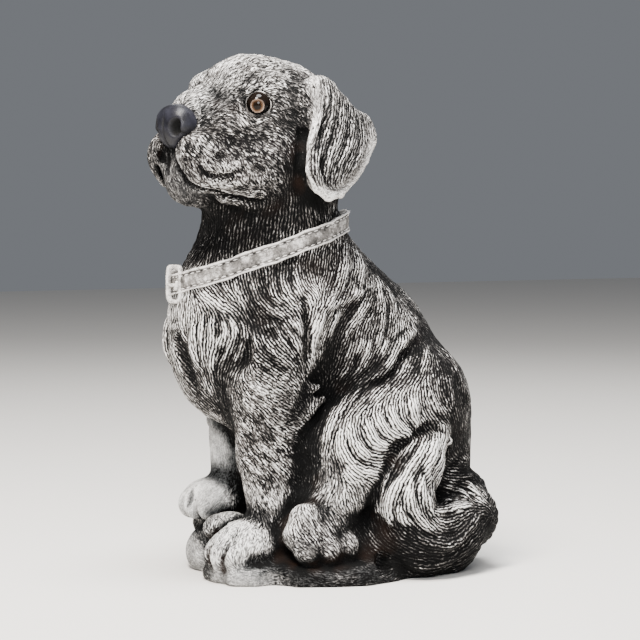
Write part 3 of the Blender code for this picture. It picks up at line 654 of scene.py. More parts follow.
        [(30, 24, 146), (36, 40, 124), (40, 52, 98), (40, 58, 72)],
        [(12, 78, 52), (12, 74, 38), (16, 72, 26)]]},
    "loin": {"mirror": "body", "fur": (1.4, 1.0, 0.5, 0.75, 0.38, 0.0),
        "strokes": [[(427, 345), (424, 360), (416, 376), (404, 388)],
        [(430, 389), (432, 401), (438, 409), (450, 414)], [(438, 384), (441, 398), (448, 410)],
        [(396, 384), (382, 396), (368, 406), (356, 414)],
        [(366, 383), (355, 397), (345, 412), (334, 428), (325, 444)],
        [(353, 391), (343, 405), (336, 418), (328, 440)]]},
    "behind the elbow": {"mirror": "body", "fur": (1.5, 1.0, 0.7, 0.8, 0.36, 0.0),
        "strokes": [[(331, 390), (322, 408), (316, 426)], [(341, 398), (332, 418), (325, 440)]]},
    "thigh curls": {"mirror": "body", "fur": (1.45, 1.0, 0.6, 0.85, 0.57, 0.0),
        "strokes": [[(413, 393), (413, 408), (417, 422), (426, 428)],
        [(402, 396), (400, 410), (404, 422), (414, 432)],
        [(391, 402), (391, 418), (397, 428), (412, 437)],
        [(378, 408), (379, 422), (386, 434), (397, 440), (408, 436)],
        [(366, 414), (368, 430), (375, 443), (388, 447), (399, 442)],
        [(357, 418), (358, 436), (364, 450), (376, 456), (388, 450)],
        [(347, 424), (348, 440), (354, 455), (366, 464), (380, 464)],
        [(341, 430), (341, 446), (346, 460), (357, 471), (371, 474)],
        [(344, 466), (352, 478), (366, 484)]]},
    "shank": {"mirror": "body", "fur": (1.4, 0.9, 0.3, 0.4, 0.42, 0.1),
        "strokes": [[(322, 452), (322, 470), (316, 488), (306, 502)],
        [(334, 466), (336, 482), (330, 496), (318, 508)],
        [(310, 512), (318, 522), (326, 534), (336, 546)], [(330, 508), (340, 520), (350, 534)],
        [(360, 486), (362, 500), (362, 516)]]},
    "tail hood": {"fur": (1.5, 1.0, 0.7, 0.85, 0.54, 0.05),
        "strokes": [[(418, 439), (405, 453), (394, 466), (385, 483), (381, 501), (384, 520)],
        [(428, 440), (418, 457), (408, 472), (398, 488), (391, 504), (393, 524)],
        [(436, 437), (430, 456), (420, 474), (411, 491), (413, 509), (425, 525)],
        [(447, 438), (443, 456), (433, 474), (424, 490), (428, 506), (434, 518)]]},
    "tail": {"fur": (1.5, 1.0, 0.7, 0.8, 0.02, 0.0),
        "strokes": [[(393, 529), (404, 538), (416, 545), (430, 549)],
        [(416, 535), (427, 542), (442, 545), (454, 543), (464, 536), (476, 521), (489, 506)],
        [(401, 560), (422, 564), (442, 562), (462, 553), (478, 538), (488, 522)]],
        "places": [[(6, 76, 22), (22, 84, 24), (38, 76, 20), (54, 62, 16)],
        [(20, 84, 36), (36, 74, 34), (50, 60, 26)], [(0, 74, 8), (20, 82, 8), (40, 74, 6)]]},
    "end of the tail": {"fur": (1.5, 1.0, 0.7, 0.8, 0.42, 0.0),
        "strokes": [[(442, 485), (457, 492), (472, 502)], [(448, 481), (466, 487), (483, 499)],
        [(454, 479), (470, 474), (480, 469)], [(436, 514), (448, 511), (461, 509), (474, 502)]]},
    "front of the mound": {"fur": (2.2, 0.25, 0.1, 0.0, 0.5, 0.7),
        "strokes": [[(186, 532), (190, 546), (200, 560)], [(196, 542), (204, 556), (212, 570)],
        [(214, 578), (236, 582), (258, 578)]]},
    "rim of the mound": {"fur": (2.0, 0.6, 0.2, 0.0, 0.16, 0.2),
        "strokes": [[(275, 566), (295, 568), (317, 573), (342, 578), (364, 577)]]},
    "mound": {"fur": (1.8, 0.9, 0.3, 0.3, 0.12, 0.15),
        "strokes": [[(280, 556), (306, 560), (336, 566), (362, 568)],
        [(392, 576), (420, 578), (446, 570)]],
        "places": [[(-40, -40, 12), (-52, -20, 10), (-58, 0, 8)],
        [(-56, 6, 10), (-52, 30, 12), (-40, 56, 12)], [(-30, 66, 14), (-10, 76, 12), (4, 78, 8)],
        [(-10, -62, 18), (4, -66, 12), (20, -70, 6)]]},
}


def strokeSamples(tree, masses):
    # place, direction and settings of the fur at points along every stroke and its mirrored copy
    places, directions, settings = [], [], []
    for area in furAreas.values():
        paths = [castPath(tree, pixels) for pixels in area.get("strokes", [])]
        for controls in area.get("places", []):
            paths.append(settlePoints(masses, curveThrough(controls, 4.0), 6))
        for path in paths:
            if len(path) < 2:
                continue
            for copy in mirrored(path, area.get("mirror")):
                slope = np.gradient(copy, axis=0)
                places.append(copy)
                directions.append(unit(slope))
                settings.append(np.tile(area["fur"], (len(copy), 1)))
    return np.vstack(places), np.vstack(directions), np.vstack(settings)


def mirrored(path, side):
    if side == "body":
        return [path, mirrorBody(path)]
    if side == "head":
        return [path, mirrorHead(path)]
    return [path]


def surfaceNormals(masses, points):
    # slope of the depth, of length one
    step = 0.3
    slope = np.stack([figureDepth(masses, points + step * axis) - figureDepth(masses, points - step * axis)
                      for axis in np.eye(3)], axis=1)
    return unit(slope)


def combSurface(points, normals, samples, sampleNormals):
    # Each vertex takes the mean of all samples, weighted by 1 / (distance squared + 6)^2 and by how
    # far their normals agree; the direction is then laid into the surface.
    places, directions, settings = samples
    table = np.hstack([directions, settings])
    result = np.empty((len(points), table.shape[1]))
    batch = 4096
    for start in range(0, len(points), batch):
        part = slice(start, start + batch)
        gap = ((points[part] ** 2).sum(axis=1)[:, None] + (places ** 2).sum(axis=1)[None, :]
               - 2.0 * points[part] @ places.T)
        agree = np.clip(normals[part] @ sampleNormals.T, 0.03, 1.0)
        weight = agree * agree / (np.maximum(gap, 0.0) + 6.0) ** 2
        result[part] = (weight @ table) / weight.sum(axis=1)[:, None]
    return result[:, :3], result[:, 3:]


def neighbourMean(values, edges, rounds):
    # repeated mean of each vertex and its neighbours
    values = np.array(values, dtype=float)
    flat = values.reshape(len(values), -1)
    first, second = edges.T
    count = np.bincount(first, minlength=len(flat)) + np.bincount(second, minlength=len(flat)) + 1.0
    for _ in range(rounds):
        total = flat.copy()
        for column in range(flat.shape[1]):
            total[:, column] += np.bincount(first, flat[second, column], len(flat))
            total[:, column] += np.bincount(second, flat[first, column], len(flat))
        flat = total / count[:, None]
    return flat.reshape(values.shape)


def layFlat(vectors, normals):
    flat = vectors - (vectors * normals).sum(axis=1)[:, None] * normals
    return unit(flat)


def phaseStep(points, across, pitch, first, second):
    # 2 pi times the step across the flow from the first to the second, over their mean pitch
    mean = unit(across[first] + across[second])
    step = ((points[second] - points[first]) * mean).sum(axis=1)
    return 4.0 * math.pi / (pitch[first] + pitch[second]) * step


def hairPhase(points, normals, flow, pitch, edges, rounds, seed):
    # Stripes that run along the flow, a pitch apart. Every vertex holds an angle. Along an edge the
    # angle should grow by 2 pi times the step across the flow over the pitch; each round sets the
    # angles to what their neighbours ask for, until the stripes join up and fork where they must.
    across = np.cross(normals, flow)
    first, second = edges.T
    advance = phaseStep(points, across, pitch, first, second)
    agree = np.clip((across[first] * across[second]).sum(axis=1), 0.0, 1.0) ** 2
    turned = (agree * np.exp(1j * advance)).astype(np.complex64)
    angle = np.random.default_rng(seed).uniform(0.0, 2.0 * math.pi, len(points))
    state = np.exp(1j * angle).astype(np.complex64)
    size = len(points)
    for _ in range(rounds):
        onSecond = state[first] * turned
        onFirst = state[second] * np.conj(turned)
        real = np.bincount(second, onSecond.real, size) + np.bincount(first, onFirst.real, size)
        imaginary = np.bincount(second, onSecond.imag, size) + np.bincount(first, onFirst.imag, size)
        state = (real + 1j * imaginary).astype(np.complex64)
        state /= np.maximum(np.abs(state), 1e-9)
    return np.angle(state)


def cornerTurns(points, normals, flow, pitch, corners, phase):
    # the phase at each corner of each triangle in turns, carried on smoothly from its first corner
    across = np.cross(normals, flow)
    base = corners[:, 0]
    columns = [phase[base]]
    for corner in (corners[:, 1], corners[:, 2]):
        advance = phaseStep(points, across, pitch, base, corner)
        rest = np.angle(np.exp(1j * (phase[corner] - phase[base] - advance)))
        columns.append(phase[base] + advance + rest)
    return np.stack(columns, axis=1) / (2.0 * math.pi)


# Single locks and cuts, in pixels of the photograph. width and height are in mm, cuts are negative.
lockAreas = {
    "shoulder locks": {"mirror": "body", "width": 3.6, "height": 1.5,
        "strokes": [[(253, 276), (257, 295), (267, 306), (276, 309)],
        [(270, 265), (271, 284), (276, 299), (284, 305)],
        [(285, 263), (284, 284), (290, 298), (297, 303)],
        [(298, 258), (297, 276), (299, 291), (308, 298)],
        [(344, 275), (339, 290), (329, 302), (319, 312)],
        [(199, 291), (208, 299), (222, 307), (236, 311)],
        [(236, 278), (238, 291), (244, 303), (247, 313)], [(268, 310), (283, 315), (287, 316)]]},
    "chest locks": {"mirror": "body", "width": 4.0, "height": 2.8,
        "strokes": [[(230, 319), (236, 332), (231, 347), (219, 365)],
        [(241, 321), (246, 334), (243, 348), (230, 370)],
        [(222, 320), (226, 334), (220, 344), (215, 357), (212, 372)],
        [(212, 316), (213, 337), (211, 357), (211, 372)],
        [(203, 319), (203, 337), (205, 357), (208, 372)],
        [(193, 321), (195, 342), (197, 357), (202, 372)]]},
    "arm locks": {"mirror": "body", "width": 4.0, "height": 2.8,
        "strokes": [[(255, 328), (257, 340), (263, 352), (275, 358)],
        [(262, 335), (270, 345), (277, 354), (287, 362), (299, 369)],
        [(275, 328), (281, 342), (287, 352), (299, 361)],
        [(282, 324), (292, 337), (297, 347), (300, 360)], [(287, 320), (298, 328), (303, 337)],
        [(253, 342), (254, 350), (263, 361), (272, 368)]]},
    "forearm hair": {"mirror": "body", "width": 2.8, "height": 1.2,
        "strokes": [[(246, 383), (261, 391), (271, 397)], [(236, 397), (251, 407), (257, 411)],
        [(241, 422), (253, 430), (262, 440)], [(257, 442), (266, 450), (280, 457)],
        [(219, 384), (227, 411), (236, 432), (238, 448), (238, 473)],
        [(243, 455), (253, 468), (265, 475)], [(271, 462), (282, 471), (292, 481)],
        [(290, 437), (302, 443), (310, 451), (313, 464)]]},
    "flank locks": {"mirror": "body", "width": 3.8, "height": 1.4,
        "strokes": [[(346, 241), (345, 261), (341, 281), (334, 297), (320, 312)],
        [(357, 251), (361, 271), (360, 288)], [(371, 302), (361, 312), (351, 327), (341, 343)],
        [(346, 305), (336, 317), (331, 332), (330, 353)],
        [(326, 312), (318, 327), (313, 343), (314, 363)],
        [(377, 276), (380, 297), (382, 312), (380, 332), (376, 353)],
        [(387, 287), (392, 302), (392, 322)], [(361, 338), (355, 358)], [(387, 338), (382, 358)],
        [(350, 340), (352, 350), (348, 366), (342, 381)],
        [(366, 340), (366, 355), (358, 371), (349, 383)]]},
    "flank folds": {"mirror": "body", "width": 3.6, "height": 1.8,
        "strokes": [[(365, 292), (353, 295), (337, 303), (319, 312)],
        [(417, 329), (406, 340), (397, 350), (395, 363)],
        [(397, 342), (393, 355), (384, 371), (366, 383), (355, 397), (346, 411)]]},
    "locks behind the arm": {"mirror": "body", "width": 3.4, "height": 1.6,
        "strokes": [[(336, 405), (331, 427), (322, 446)],
        [(353, 391), (343, 405), (336, 418), (328, 438)]]},
    "rump hair": {"mirror": "body", "width": 3.8, "height": 1.4,
        "strokes": [[(411, 355), (405, 366), (397, 379)], [(427, 340), (426, 360), (422, 374)],
        [(437, 345), (450, 360), (460, 381), (469, 401), (472, 417)],
        [(450, 374), (450, 391), (451, 411)], [(430, 389), (432, 401), (438, 407), (450, 414)]]},
    "thigh curls": {"mirror": "body", "width": 4.2, "height": 2.6,
        "strokes": [[(413, 397), (413, 411), (418, 427)],
        [(391, 405), (392, 418), (397, 427), (406, 433), (413, 436)],
        [(378, 411), (379, 422), (386, 432), (397, 436), (405, 434)],
        [(369, 418), (370, 432), (376, 444), (388, 445), (397, 440)],
        [(350, 422), (351, 437), (357, 449), (366, 455), (372, 456)],
        [(342, 428), (342, 442), (346, 457), (356, 469), (369, 473), (379, 471)],
        [(345, 468), (353, 478), (367, 482)]]},
    "tail strands": {"width": 3.6, "height": 2.6,
        "strokes": [[(418, 439), (405, 453), (394, 464), (385, 481), (380, 499)],
        [(428, 442), (419, 457), (409, 472), (401, 483), (391, 499)],
        [(437, 437), (432, 457), (427, 468), (430, 483)],
        [(449, 437), (446, 454), (440, 472), (437, 481)],
        [(405, 474), (397, 486), (390, 501), (389, 517), (393, 529)],
        [(411, 471), (409, 491), (413, 509), (425, 525), (437, 535)],
        [(422, 474), (422, 491), (429, 506), (432, 518)], [(397, 505), (403, 518), (416, 527)],
        [(416, 535), (427, 542), (442, 545), (453, 544), (462, 537), (476, 520), (490, 505)],
        [(401, 562), (422, 565), (442, 562), (462, 552), (478, 537)],
        [(442, 485), (457, 491), (473, 503)], [(448, 481), (466, 486), (483, 500)],
        [(454, 479), (473, 475), (481, 469)], [(435, 513), (447, 510), (460, 509), (473, 503)]]},
    "ear strands": {"mirror": "head", "width": 2.6, "height": 1.0,
        "strokes": [
        [(324, 84), (326, 98), (323, 114), (317, 131), (313, 146), (312, 165), (315, 180)],
        [(334, 91), (334, 108), (329, 127), (322, 146), (317, 165), (318, 182)],
        [(343, 98), (342, 117), (339, 137), (332, 156), (326, 175), (326, 187)],
        [(352, 108), (354, 127), (349, 146), (340, 165), (336, 184)],
        [(360, 119), (364, 137), (361, 151), (355, 165), (345, 180)]]},
    "folds of the lips": {"mirror": "head", "width": 2.2, "height": 0.9,
        "strokes": [[(243, 160), (249, 167), (255, 176)], [(253, 176), (259, 181), (265, 185)]]},
    "ridge under the chest": {"width": 2.6, "height": 1.0,
        "strokes": [[(167, 326), (176, 327), (187, 325)]]},
    "rim of the mound": {"width": 3.0, "height": 1.0,
        "strokes": [[(275, 566), (295, 568), (317, 573), (342, 578), (364, 577)]]},
    "cuts between the locks": {"mirror": "body", "width": 3.4, "height": -2.2,
        "strokes": [[(249, 310), (257, 319), (267, 320), (282, 318)],
        [(250, 338), (250, 353), (245, 362), (240, 372)], [(222, 345), (218, 360)],
        [(263, 331), (275, 335), (279, 342)], [(303, 292), (306, 315), (308, 345), (306, 380)],
        [(412, 348), (402, 357), (398, 363)],
        [(406, 352), (397, 367), (384, 379), (367, 386), (355, 405)],
        [(411, 436), (424, 429), (432, 427), (448, 434)], [(386, 448), (397, 444), (409, 438)]]},
    "cuts in the tail and paws": {"width": 3.0, "height": -1.8,
        "strokes": [[(438, 497), (447, 503), (455, 499)], [(442, 476), (452, 466), (462, 455)],
        [(232, 520), (221, 529), (209, 539)], [(229, 537), (226, 550), (222, 565)],
        [(238, 526), (234, 540), (230, 556)], [(192, 488), (189, 500), (187, 512)]]},
    "folds of the cheek": {"mirror": "head", "width": 2.6, "height": -1.0,
        "strokes": [[(196, 162), (202, 171), (212, 176), (224, 176), (236, 172), (246, 166)],
        [(254, 163), (260, 168), (267, 173)],
        [(245, 106), (242, 94), (246, 82), (254, 74), (262, 71)], [(214, 155), (221, 156), (229, 155)]]},
    "pouch of the cheek": {"mirror": "head", "width": 3.2, "height": 0.9,
        "strokes": [[(203, 165), (213, 169), (226, 169), (238, 164), (244, 157)],
        [(208, 183), (222, 185), (236, 183), (248, 177), (256, 170)]]},
    "corner of the mouth": {"mirror": "head", "width": 2.8, "height": -3.4,
        "strokes": [[(216, 196), (230, 198), (244, 200), (256, 201), (268, 199)]]},
    "rim under the corner of the mouth": {"mirror": "head", "width": 1.7, "height": 0.9,
        "strokes": [[(242, 205), (252, 206.5), (262, 205.5), (272, 201), (275, 193)]]},
    "rim behind the nose": {"mirror": "head", "width": 1.4, "height": 0.9,
        "strokes": [[(194, 103), (199, 111), (200, 122), (197, 132)]]},
    "groove behind the ear's rim": {"mirror": "head", "width": 2.4, "height": -1.3,
        "strokes": [
        [(324, 90), (324, 112), (319, 133), (313, 150), (311, 165), (315, 180), (324, 189)]]},
    "hollow of the chest": {"width": 7.0, "height": -3.2,
        "strokes": [[(177, 333), (180, 350), (187, 370), (197, 390)]]},
}


# Folds of the head that the photograph's rays miss, both sides: forward, left and up along each
headFolds = {
    "mouth": {"width": 2.4, "depth": 2.6,
        "places": [(61, 5, 202.4), (57.5, 8, 195.7), (55, 10.5, 189), (50, 16, 183.5),
        (37, 23.5, 181), (30, 26, 180)]},
    "recess before the ear": {"width": 4.2, "depth": 2.2,
        "places": [(7, 34, 212), (9, 35, 200), (10, 35, 186)]},
    "parting of the lips": {"width": 2.2, "depth": 2.4,
        "places": [(70, 0, 206), (64, 0, 200), (60, 0, 194)]},
}


def pathDistance(path, points, reach):
    # for each point, the distance to the path and the share of its length there
    distance = np.full(len(points), 1e3)
    share = np.zeros(len(points))
    inBox = (points > path.min(axis=0) - reach) & (points < path.max(axis=0) + reach)
    close = np.flatnonzero(inBox.all(axis=1))
    near = points[close]
    for index in range(len(path) - 1):
        axis = path[index + 1] - path[index]
        along = np.clip(((near - path[index]) @ axis) / max(axis @ axis, 1e-9), 0.0, 1.0)
        gap = np.linalg.norm(near - path[index] - along[:, None] * axis, axis=1)
        better = gap < distance[close]
        distance[close[better]] = gap[better]
        share[close[better]] = (index + along[better]) / (len(path) - 1)
    return distance, share


def raiseAlong(points, path, width, height, pointed):
    # (1 - (distance / width)^2)^1.5 times the height, narrower towards both ends where pointed
    distance, share = pathDistance(path, points, width)
    taper = np.clip(np.sin(math.pi * share ** 0.8), 0.02, 1.0) ** 0.6 if pointed else 1.0
    return height * taper * np.maximum(1.0 - (distance / (width * taper)) ** 2, 0.0) ** 1.5


def lockHeight(masses, points):
    raised = np.zeros(len(points))
    cut = np.zeros(len(points))
    for path, width, rise in lockPaths:
        height = raiseAlong(points, path, width, rise, True)
        raised = np.maximum(raised, height)
        cut = np.minimum(cut, height)
    for fold in headFolds.values():
        for side in (1, -1):
            controls = [headPlace(forward, side * left, up) for forward, left, up in fold["places"]]
            path = settlePoints(masses, curveThrough(controls, 3.0), 6)
            cut = np.minimum(cut, raiseAlong(points, path, fold["width"], -fold["depth"], False))
    return raised + cut


casting = {
    "headSpacing": 0.85,    # mm between points of the surface, head
    "bodySpacing": 1.15,
    "overlap": 1.5,         # mm that head and body run past each other under the collar
    "strandPitch": 2.8,     # hairs in each strand
    "strandHeight": 0.85,   # mm that a strand stands over its neighbours' seams
    "roughHeight": 0.16,    # mm, unevenness of the furry surface
    "toneGain": 1.1,        # paleness is this times the area's tone, less toneShift
    "toneShift": 0.21,
    "lockShade": 0.42,      # how much locks are rubbed paler
    "cutShade": 0.25,       # how much darker cuts stay besides
    "seamShade": 0.24,      # how much seams and strands differ
    "swellShade": {1: 0.1, -1: 0.3},    # how much swellings are rubbed paler, head and body
    "recessShade": {1: 0.5, -1: 0.45},  # how much darker the recesses are made, stain and painted shade, head and body
    "recessReach": 6.0,     # mm that a recess is felt for along the normal
    "flowRounds": 12,       # rounds of the neighbours' mean: of the fur's direction and settings,
    "lockSpread": 18,       # of the ground that locks are set against,
    "seamSpread": 10,       # of the ground that strands are set against,
    "swellSpread": 40,      # and of the ground that swellings are set against
    "rounds": 260,          # of joining up the stripes
    "seed": 7,
}


def figureMasses():
    return (trunkMasses() + forelegMasses() + elbowMasses() + hindLegMasses() + toeMasses()
            + tailMasses() + moundMasses() + headMasses() + earMasses())


def netOf(masses, low, high, spacing, side):
    # the head lies above the plane of the collar, side 1, and the body below it, side -1
    def depthAt(points):
        above = (points[:, 2] - collarHeight(points[:, 0], points[:, 1])) * side
        return np.maximum(figureDepth(masses, points), -above - casting["overlap"])

    points, quads = surfaceNet(depthAt, low - 2.5 * spacing, high + 2.5 * spacing, spacing)
    above = (points[:, 2] - collarHeight(points[:, 0], points[:, 1])) * side
    free = above > 0.5 - casting["overlap"]
    points[free] = settlePoints(masses, points[free], 3)
    points[:, 2] = np.maximum(points[:, 2], 0.0)
    return points, splitQuads(points, quads)


def buildCasting(masses, samples, sampleNormals, name, side, spacing, material):
    low, high = (toLayout(np.array(corner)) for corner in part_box("dog_statue"))
    points, corners = netOf(masses, low, high, spacing, side)
    normals = pointNormals(points, corners)
    edges = edgesOf(corners)
    print(name + ":", len(points), "points,", len(corners), "triangles")

    flow, settings = combSurface(points, normals, samples, sampleNormals)
    flow = layFlat(neighbourMean(layFlat(flow, normals), edges, casting["flowRounds"]), normals)
    settings = neighbourMean(settings, edges, casting["flowRounds"])
    pitch, hair, strand, long, tone, cool = settings.T
    strandGap = casting["strandPitch"] * pitch
    strandPhase = hairPhase(points, normals, flow, strandGap, edges, casting["rounds"], casting["seed"])
    finePhase = hairPhase(points, normals, flow, pitch, edges, casting["rounds"], casting["seed"] + 1)
    print(name + ": stripes joined up")

    locks = lockHeight(masses, points)
    rough = neighbourMean(np.random.default_rng(casting["seed"]).normal(size=len(points)), edges, 10)
    rough = np.clip(rough / rough.std(), -2.0, 2.0)
    strands = casting["strandHeight"] * strand * (np.abs(np.cos(strandPhase / 2)) ** 0.8 - 0.6)
    strands = strands * (1.0 + 0.35 * rough) + casting["roughHeight"] * hair * rough
    height = (locks + strands) * (points[:, 2] > 0.3)
    carved = np.clip(points + normals * height[:, None], low, high)

    # How pale each place is: locks and swellings rubbed paler, seams darker, and cavities and
    # undersides darker, partly with stain and partly with painted shade
    ground = neighbourMean(locks, edges, casting["lockSpread"])
    relief = np.clip((locks - ground) / 1.3, -1.0, 1.0)
    relief = casting["lockShade"] * relief + casting["cutShade"] * np.minimum(relief, 0.0)
    ground = neighbourMean(strands, edges, casting["seamSpread"])
    seam = np.clip((strands - ground) / 0.5, -1.0, 1.0)
    ground = neighbourMean(points, edges, casting["swellSpread"])
    swell = ((points - ground) * normals).sum(axis=1)
    swell = neighbourMean(np.clip(swell / 0.5, -1.0, 1.0), edges, 3)
    # recess: how closely the figure closes round each place, felt along the normal; it darkens pale below as
    # painted shade and as stain settled in the hollows
    reach = casting["recessReach"]
    recess = np.clip(1.0 - figureDepth(masses, points + reach * normals) / reach, 0.0, 1.0)
    contrast = np.clip(0.45 + tone, 0.5, 1.1)
    detail = relief + casting["seamShade"] * seam + casting["swellShade"][side] * swell
    pale = casting["toneGain"] * tone - casting["toneShift"] + contrast * detail
    pale = np.clip(pale, 0.15 * tone, 1.06 - 0.28 * hair) - casting["recessShade"][side] * recess

    mesh = bpy.data.meshes.new(name)
    mesh.from_pydata(toMetres(carved), [], corners.tolist())
    for key, values in (("pale", pale), ("hair", hair), ("long", long), ("cool", cool), ("recess", recess)):
        addAttribute(mesh, key, values)
    layer = mesh.attributes.new("flow", "FLOAT_VECTOR", "POINT")
    layer.data.foreach_set("vector", flow.astype(np.float32).ravel())
    turns = cornerTurns(points, normals, flow, pitch, corners, finePhase)
    flat = np.stack([turns.ravel(), np.zeros(turns.size)], axis=1)
    mesh.uv_layers.new(name="fur").uv.foreach_set("vector", flat.astype(np.float32).ravel())
    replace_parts(addPiece(name, mesh, material), "dog_statue")


# Materials

def hexColour(code):
    # sRGB hex to the linear values that the shader takes
    parts = [int(code[place:place + 2], 16) / 255 for place in (1, 3, 5)]
    linear = [part / 12.92 if part <= 0.04045 else ((part + 0.055) / 1.055) ** 2.4 for part in parts]
    return (*linear, 1.0)


def addNode(tree, kind, inputs=(), **settings):
    # one node with its settings; inputs are in the sockets' order or named, and each is a value, or
    # another node or socket to link from. Every kind's name starts with ShaderNode.
    node = tree.nodes.new("ShaderNode" + kind)
    for name, value in settings.items():
        setattr(node, name, value)
    named = inputs if isinstance(inputs, dict) else dict(enumerate(inputs))
    for name, value in named.items():
        socket = node.inputs[name]
        if isinstance(value, bpy.types.Node):
            tree.links.new(value.outputs[0], socket)
        elif isinstance(value, bpy.types.NodeSocket):
            tree.links.new(value, socket)
        else:
            socket.default_value = value
    return node


def setStops(node, stops):
    # colour stops of a ramp: place and hex code
    elements = node.color_ramp.elements
    while len(elements) < len(stops):
        elements.new(0.5)
    for element, (place, code) in zip(elements, stops):
        element.position = place
        element.color = hexColour(code)
    return node


def newMaterial(name):
    material = bpy.data.materials.new(name)
    material.use_nodes = True
    material.node_tree.nodes.clear()
    return material, material.node_tree


def finishMaterial(tree, colour, roughness, normal, **constants):
    shader = addNode(tree, "BsdfPrincipled", {"Base Color": colour, "Roughness": roughness})
    if normal is not None:
        tree.links.new(normal.outputs[0], shader.inputs["Normal"])
    for name, value in constants.items():
        shader.inputs[name.replace("_", " ")].default_value = value
    addNode(tree, "OutputMaterial", {"Surface": shader})


rubbedCement = {
    "cavity": "#030303",       # black stain left in the seams, and the deepest painted shade
    "shade": "#151414",
    "middle": "#524f4d",
    "rub": "#a6a3a0",          # grey cement, rubbed clear of the stain
    "crest": "#fbf9f6",        # worn tops
    "bare": "#c4c8c9",         # smooth bluish cement with little stain
    "rust": "#4a3020",
    "hairContrast": 1.55,
    "hairDepth": 0.55,         # mm
    "tufts": [                 # size, hair width and hair length in mm, turn in radians, offset
        (6.0, 0.62, 3.4, 0.9, 3.0),
        (4.2, 0.54, 2.6, 1.1, 17.0)],
    "gritSize": 0.35,          # mm, sand grains
    "gritDepth": 0.05,
    "pitSize": 2.2,            # mm, air holes
    "pitDepth": 0.35,
}


def tuftNoise(tree, place, flow, normal, size, width, length, turn, offset):
    # Short hairs in tufts. Each Voronoi cell of that size is a tuft, with its middle as the origin
    # and its own turn of the flow; the noise in it is stretched along the flow to the hair length.
    shifted = addNode(tree, "VectorMath", [place, (1.0 / size,) * 3, (offset,) * 3],
                      operation="MULTIPLY_ADD")
    cells = addNode(tree, "TexVoronoi", {"Vector": shifted, "Scale": 1.0})
    local = addNode(tree, "VectorMath", [shifted, cells.outputs["Position"]], operation="SUBTRACT")
    chance = addNode(tree, "SeparateColor", {0: cells.outputs["Color"]})
    swing = addNode(tree, "Math", [chance.outputs[0], turn, -turn / 2], operation="MULTIPLY_ADD")
    side = addNode(tree, "VectorMath", [normal, flow], operation="CROSS_PRODUCT")
    aside = addNode(tree, "VectorMath", {0: side, 3: swing}, operation="SCALE")
    swung = addNode(tree, "VectorMath", [flow, aside], operation="ADD")
    along = addNode(tree, "VectorMath", [swung], operation="NORMALIZE")
    share = addNode(tree, "VectorMath", [local, along], operation="DOT_PRODUCT")
    slide = addNode(tree, "Math", [share.outputs["Value"], size / length - size / width],
                    operation="MULTIPLY")
    stretched = addNode(tree, "VectorMath", {0: along, 3: slide}, operation="SCALE")
    across = addNode(tree, "VectorMath", [local, (size / width,) * 3, stretched], operation="MULTIPLY_ADD")
    # each tuft reads its own part of the noise
    moved = addNode(tree, "VectorMath", [cells.outputs["Color"], (37.0,) * 3, across],
                    operation="MULTIPLY_ADD")
    noise = addNode(tree, "TexNoise", {"Vector": moved, "Scale": 1.0, "Detail": 1.0, "Roughness": 0.4})
    return noise.outputs["Fac"]


